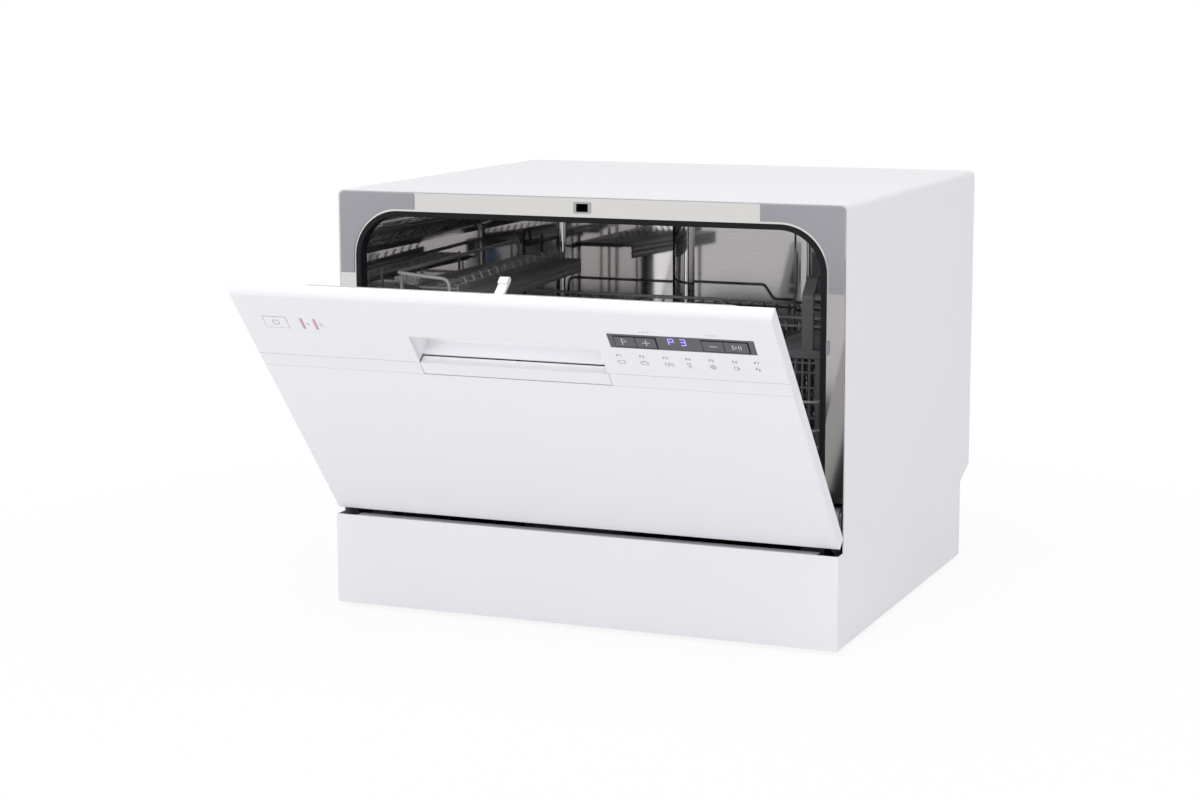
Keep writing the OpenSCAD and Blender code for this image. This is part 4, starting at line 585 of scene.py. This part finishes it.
def around(x0, x1, y0, y1, r, bar, gap):
    """Points round a rectangle with rounded corners, and for each stretch between two, whether it opens."""
    points, opens = [], []
    start, long, short = (x1, y0 + r), y1 - y0 - 2 * r, x1 - x0 - 2 * r
    sides = (((0, 1), long, (x1 - r, y1 - r)), ((-1, 0), short, (x0 + r, y1 - r)),
             ((0, -1), long, (x0 + r, y0 + r)), ((1, 0), short, (x1 - r, y0 + r)))
    for turn, (ahead, run, corner) in enumerate(sides):
        for k, at in enumerate(bars(0, run, bar, gap)[:-1]):
            points.append((start[0] + ahead[0] * at, start[1] + ahead[1] * at))
            opens.append(k % 2 == 1)
        for k in range(4):
            a = math.radians(90 * turn + 22.5 * k)
            points.append((corner[0] + r * math.cos(a), corner[1] + r * math.sin(a)))
            opens.append(False)
        a = math.radians(90 * turn + 90)
        start = (corner[0] + r * math.cos(a), corner[1] + r * math.sin(a))
    return points + points[:1], opens


ring_points, ring_opens = around(bx0, bx1, by0, by1, 3, 2.4, 4.9)
wall_levels = [bz0, 184.5, 199.1, 200.9, 214.6, 216.4, 230.1, 231.9, 245.6, 247.4, 261.1, 262.9,
               270.6, 272.4, 276, bz1]
inside_bars = bars(bx0 + 1, bx1 - 1, 4, 8)
lattice = (lambda u, v: (*ring_points[u], v), range(len(ring_points)), wall_levels,
           lambda i, j: ring_opens[i] and j % 2 == 1)
bottom = (lambda u, v: (u, v, bz0), inside_bars, bars(by0 + 1, by1 - 1, 4, 8), odd_cells)
partings = [(lambda u, v, y=y: (u, y, v), inside_bars, bars(bz0, 281, 4, 18), odd_cells) for y in (143, 190)]
foot_ribs = [(lambda u, v, y=y: (u, y, v), [164, 212], [178.6, bz0], no_cells) for y in (145, 192)]
basket = moulding("cutlery_basket_lattice", [lattice, bottom] + partings + foot_ribs,
                  ware_pp, "cutlery_basket", 1.8, 0.35)
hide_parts("cutlery_basket")
band_points = around(bx0 - 1, bx1 + 1, by0 - 1, by1 + 1, 4, 200, 1)[0]
moulding("cutlery_basket_band", [(lambda u, v: (*band_points[u], v), range(len(band_points)),
                                  [275.9, bz1 - 0.4], no_cells)], ware_pp, "cutlery_basket", 1.9, 0.6)
arch_x, arch_half = 210.5, 6.3
arch_path = bend([(0, 97, 276), (0, 97, 338.5), (0, 112, 354.8), (0, 221, 354.8), (0, 236, 338.5),
                  (0, 236, 276)], 7)
moulding("cutlery_basket_arch", [(lambda u, v: (arch_x + v, arch_path[u].y, arch_path[u].z),
                                  range(len(arch_path)), (-arch_half, arch_half), no_cells)],
         ware_pp, "cutlery_basket", 3.6, 0.9)
lid_bars = [([Vector((x, y, 283)) for x in (bx0 + 1, bx1 - 1)], 2, False) for y in range(105, 234, 9)]
zigzags = [([Vector((ends[k % 2], 99 + 9 * k, 282.4)), Vector((ends[1 - k % 2], 108 + 9 * k, 282.4))],
            1.8, False) for ends in ((bx0 + 2, bx0 + 35), (bx1 - 2, bx1 - 33)) for k in range(15)]
tubes("cutlery_basket_grid", lid_bars + zigzags, ware_pp, "cutlery_basket", 8)

# ---- Door springs ----
# Two coil springs of round spring steel balance the door. Each hooks into a lug of the tray and into
# the eye of a hinge arm's tail, and stretches as the door opens.
spring_x, eye_y, eye_z, lug_z = 263.5, 36.79, 93.07, 15.5
hook, coil, turns = 3.6, 3.7, 13
low, high = lug_z + 2 * hook + 1.5, eye_z - 2 * hook - 1.5
for side, name in ((-1, "left"), (1, "right")):
    path = [Vector((side * spring_x + hook * math.cos(a), eye_y, lug_z + hook + hook * math.sin(a)))
            for a in (math.radians(-110 + 250 * i / 16) for i in range(17))]
    path += [Vector((side * spring_x + coil * math.cos(a), eye_y + coil * math.sin(a),
                     low + (high - low) * i / (16 * turns)))
             for i, a in ((i, math.pi + math.pi * i / 8) for i in range(16 * turns + 1))]
    path += [Vector((side * spring_x + hook * math.cos(a), eye_y, eye_z - hook + hook * math.sin(a)))
             for a in (math.radians(-140 + 250 * i / 16) for i in range(17))]
    coil_spring = tubes("door_spring_" + name, [(path, 1.4, False)], spring, None, sides=8)
    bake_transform(coil_spring)
    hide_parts("hinge_spring_" + name)

# ---- Printed marks, display and key signs ----
# Grey ink, pad printed on the white panel, and paler ink on the dark keys. The display's two figures
# shine through the window. Dark strips over the sunk keys and a grey line along the power button's top
# and right are painted shade in their gaps.
ink = Finish("grey_ink", (0.21, 0.21, 0.225), 0.5)
ink.set("Roughness", 0.45 + ink.noise(400, 2) * 0.1)
pale_ink = Finish("pale_ink", (0.62, 0.61, 0.64), 0.5)
pale_ink.set("Roughness", 0.45 + pale_ink.noise(400, 2) * 0.1)
glow = Finish("violet_figure", (0.12, 0.09, 0.5), 0.4, Emission_Strength=1.6)
glow.set("Emission Color", glow.mix(glow.noise(500, 1), (0.30, 0.26, 1.0), (0.42, 0.38, 1.0)))


def mark(name, strokes, at, scale, width, finish, body="door", y=-0.05):
    """Printed strokes: each is a line of points in a unit grid, laid on the door's face at a place."""
    bm = bmesh.new()
    for stroke in strokes:
        points = [Vector((at[0] + px * scale, at[1] + pz * scale)) for px, pz in stroke]
        for a, b in zip(points, points[1:]):
            along = (b - a).normalized() * width / 2
            across = Vector((-along.y, along.x))
            quad = (a - along * 0.8 + across, a - along * 0.8 - across, b + along * 0.8 - across,
                    b + along * 0.8 + across)
            bm.faces.new([bm.verts.new(on_door(q.x, y, q.y)) for q in quad])
    return settle(name, bm, finish, body, smooth=False)


def arc(cx, cz, r, start, end, steps=10):
    """Points along an arc, from one angle to another."""
    return [(cx + r * math.cos(math.radians(start + (end - start) * k / steps)),
             cz + r * math.sin(math.radians(start + (end - start) * k / steps))) for k in range(steps + 1)]


figures = {
    "1": [[(0.25, 1.1), (0.55, 1.4), (0.55, 0)]],
    "2": [arc(0.45, 1.0, 0.4, 160, -35) + [(0.05, 0), (0.9, 0)]],
    "3": [arc(0.42, 1.05, 0.36, 150, -80), arc(0.42, 0.36, 0.4, 80, -150)],
    "4": [[(0.7, 0), (0.7, 1.4), (0.0, 0.42), (0.95, 0.42)]],
    "5": [[(0.82, 1.4), (0.2, 1.4), (0.14, 0.8)] + arc(0.42, 0.44, 0.42, 110, -150)],
    "6": [[(0.7, 1.4), (0.15, 0.7)] + arc(0.46, 0.42, 0.42, 160, -200)],
    "7": [[(0.05, 1.4), (0.9, 1.4), (0.35, 0)]],
    "P": [[(0, 0), (0, 1.4), (0.45, 1.4)] + arc(0.45, 1.05, 0.35, 90, -90) + [(0, 0.7)]]}
pot = [[(0, 0.9), (0.1, 0.1), (1.4, 0.1), (1.5, 0.9), (0, 0.9)],
       [(-0.25, 0.65), (0.02, 0.65)], [(1.48, 0.65), (1.75, 0.65)]]
pot_and_lid = pot + [[(0.3, 1.15), (1.2, 1.15)]]
glass = [[(0.1, 1.3), (0.2, 0.7)] + arc(0.5, 0.75, 0.3, 190, 350) + [(0.9, 1.3), (0.1, 1.3)],
         [(0.5, 0.45), (0.5, 0)], [(0.25, 0), (0.75, 0)]]
cup = [[(0.1, 1.0), (0.2, 0.1), (0.9, 0.1), (1.0, 1.0), (0.1, 1.0)], arc(1.02, 0.6, 0.24, 80, -80)]
cup_and_forks = cup + [[(1.6, 0.1), (1.6, 1.0)], [(2.0, 0.1), (2.0, 1.0)]]
plate = [arc(0.6, 0.55, 0.58, 0, 360, 20), arc(0.6, 0.55, 0.3, 0, 360, 14)]
drops = [[(0.2, 1.1), (0.05, 0.75)] + arc(0.2, 0.68, 0.15, 180, 360) + [(0.2, 1.1)],
         [(0.8, 0.8), (0.65, 0.4)] + arc(0.8, 0.33, 0.15, 180, 360) + [(0.8, 0.8)]]
programmes = ((115, "1", pot), (137.6, "2", pot_and_lid), (160.6, "3", cup_and_forks), (182.8, "4", glass),
              (205.2, "5", plate), (227.6, "6", cup), (248.6, "7", drops))
for x, figure, sign in programmes:
    number = figures["P"] + [[(px + 1.3, pz) for px, pz in stroke] for stroke in figures[figure]]
    mark("programme_figure_" + figure, number, (x - 2.2, 377.0), 2.0, 0.5, ink)
    mark("programme_sign_" + figure, sign, (x - 2.6, 367.2), 4.4, 0.5, ink)
key_y, power_y, window_y = 0.44, 0.04, 0.14         # how far behind the door's face the signs lie
dash = [(-1, 0), (1, 0)]
start_sign = [[(0, 0), (0, 1.5), (1.15, 0.75), (0, 0)], [(1.65, 0.05), (1.65, 1.45)],
              [(2.2, 0.05), (2.2, 1.45)]]
mark("key_sign_programme", figures["P"], (122.8, 393.3), 5.2, 0.8, pale_ink, "program_button", key_y)
mark("key_sign_plus", [dash, [(0, -1), (0, 1)]], (146.4, 396.9), 3.6, 0.75, pale_ink, "plus_button", key_y)
mark("key_sign_minus", [dash], (211.1, 396.9), 3.4, 0.75, pale_ink, "minus_button", key_y)
mark("key_sign_start", start_sign, (229.6, 394.5), 3.6, 0.65, pale_ink, "start_button", key_y)
# Painted shade: dark strips without sheen along the top and right of each key pair, where the gaps lie in
# shade.
shade = Finish("key_gap_shade", (0.012, 0.012, 0.014), 0.6, Specular_IOR_Level=0.05)
shade.set("Roughness", 0.5 + shade.noise(400, 2) * 0.2)
for k, (x0, x1) in enumerate(((115.3, 156.9), (200.8, 245.4))):
    gap = [(x0, 404.6), (x1, 404.6), (x1, 390.6)]
    mark("key_gap_%d" % (k + 1), [gap], (0, 0), 1, 1.5, shade, "door", 0.15)
caption = [[(2.1 * i, 0), (2.1 * i + 0.5 * (i % 2), 1.7)] for i in range(5)]
for k, x in enumerate((143.8, 208.7)):
    mark("key_caption_%d" % (k + 1), caption, (x, 411.3), 1, 0.42, ink)
mark("power_sign", [arc(0, 0, 1, 60, -240, 20), [(0, 0.45), (0, 1.25)]], (-237.5, 398.5), 3.4, 0.5, ink,
     "power_button", power_y)
# Painted shade: a grey ink line along the power button's top and right edges, where its gap lies in shade.
mark("power_gap_painted_shade", [[(-250.3, 406.4), (-224.7, 406.4), (-224.7, 390.6)]], (0, 0), 1, 0.5, ink, "door")
mark("light_sign_one", drops, (-203.6, 396.5), 2.6, 0.4, ink)
mark("light_sign_two", [arc(0.5, 0.5, 0.5, 0, 360, 16), [(0.1, 1.2), (0.5, 0.95), (0.9, 1.2)]],
     (-189.6, 396.0), 3.0, 0.4, ink)
w, h, shy = 5.0, 3.9, 0.12
bar_ends = {"a": ((0, 2 * h), (w, 2 * h)), "b": ((w, 2 * h), (w, h)), "c": ((w, h), (w, 0)),
            "d": ((0, 0), (w, 0)), "e": ((0, h), (0, 0)), "f": ((0, 2 * h), (0, h)), "g": ((0, h), (w, h))}
for at, lit in ((169.0, "abefg"), (180.3, "abgcd")):
    strokes = []
    for bar in lit:
        (ax, az), (bx, bz) = bar_ends[bar]
        strokes.append([(ax + (bx - ax) * shy, az + (bz - az) * shy),
                        (bx - (bx - ax) * shy, bz - (bz - az) * shy)])
    mark("display_figure_%d" % at, strokes, (at, 396.7), 1, 0.85, glow, "door", window_y)

# ---- Screws of the rear cover ----
# Zinc-plated pan-head screws with a six-lobed socket. They are driven in along the cover's edges and
# hold it to the casing.
depth, around_head = 500, 36
screw_places = [(s * 267, z) for s in (-1, 1) for z in (118, 225, 330, 425)] + [(0, 430), (0, 112)]
head = ((3.6, 0, 0), (3.6, 0.9, 0), (2.9, 1.7, 0), (1.9, 2.0, 0), (1.5, 1.98, 0.25), (1.4, 0.6, 0.25),
        (0.05, 0.6, 0))                 # its radius, how far it stands out, and how deep its lobes are
for k, (x, z) in enumerate(screw_places):
    bm = bmesh.new()
    rows = []
    for radius, out, lobe in head:
        centre = Vector((x, depth + front_y + out, z))
        rows.append([bm.verts.new((centre + Vector((math.cos(a), 0, math.sin(a)))
                                   * (radius + lobe * math.cos(6 * a))) * mm)
                     for a in (math.pi * i / 18 for i in range(around_head))])
    for one, two in zip(rows, rows[1:]):
        for i in range(around_head):
            n = (i + 1) % around_head
            bm.faces.new((one[i], one[n], two[n], two[i]))
    bm.faces.new(rows[-1])
    settle("cover_screw_%d" % (k + 1), bm, zinc, "cabinet")
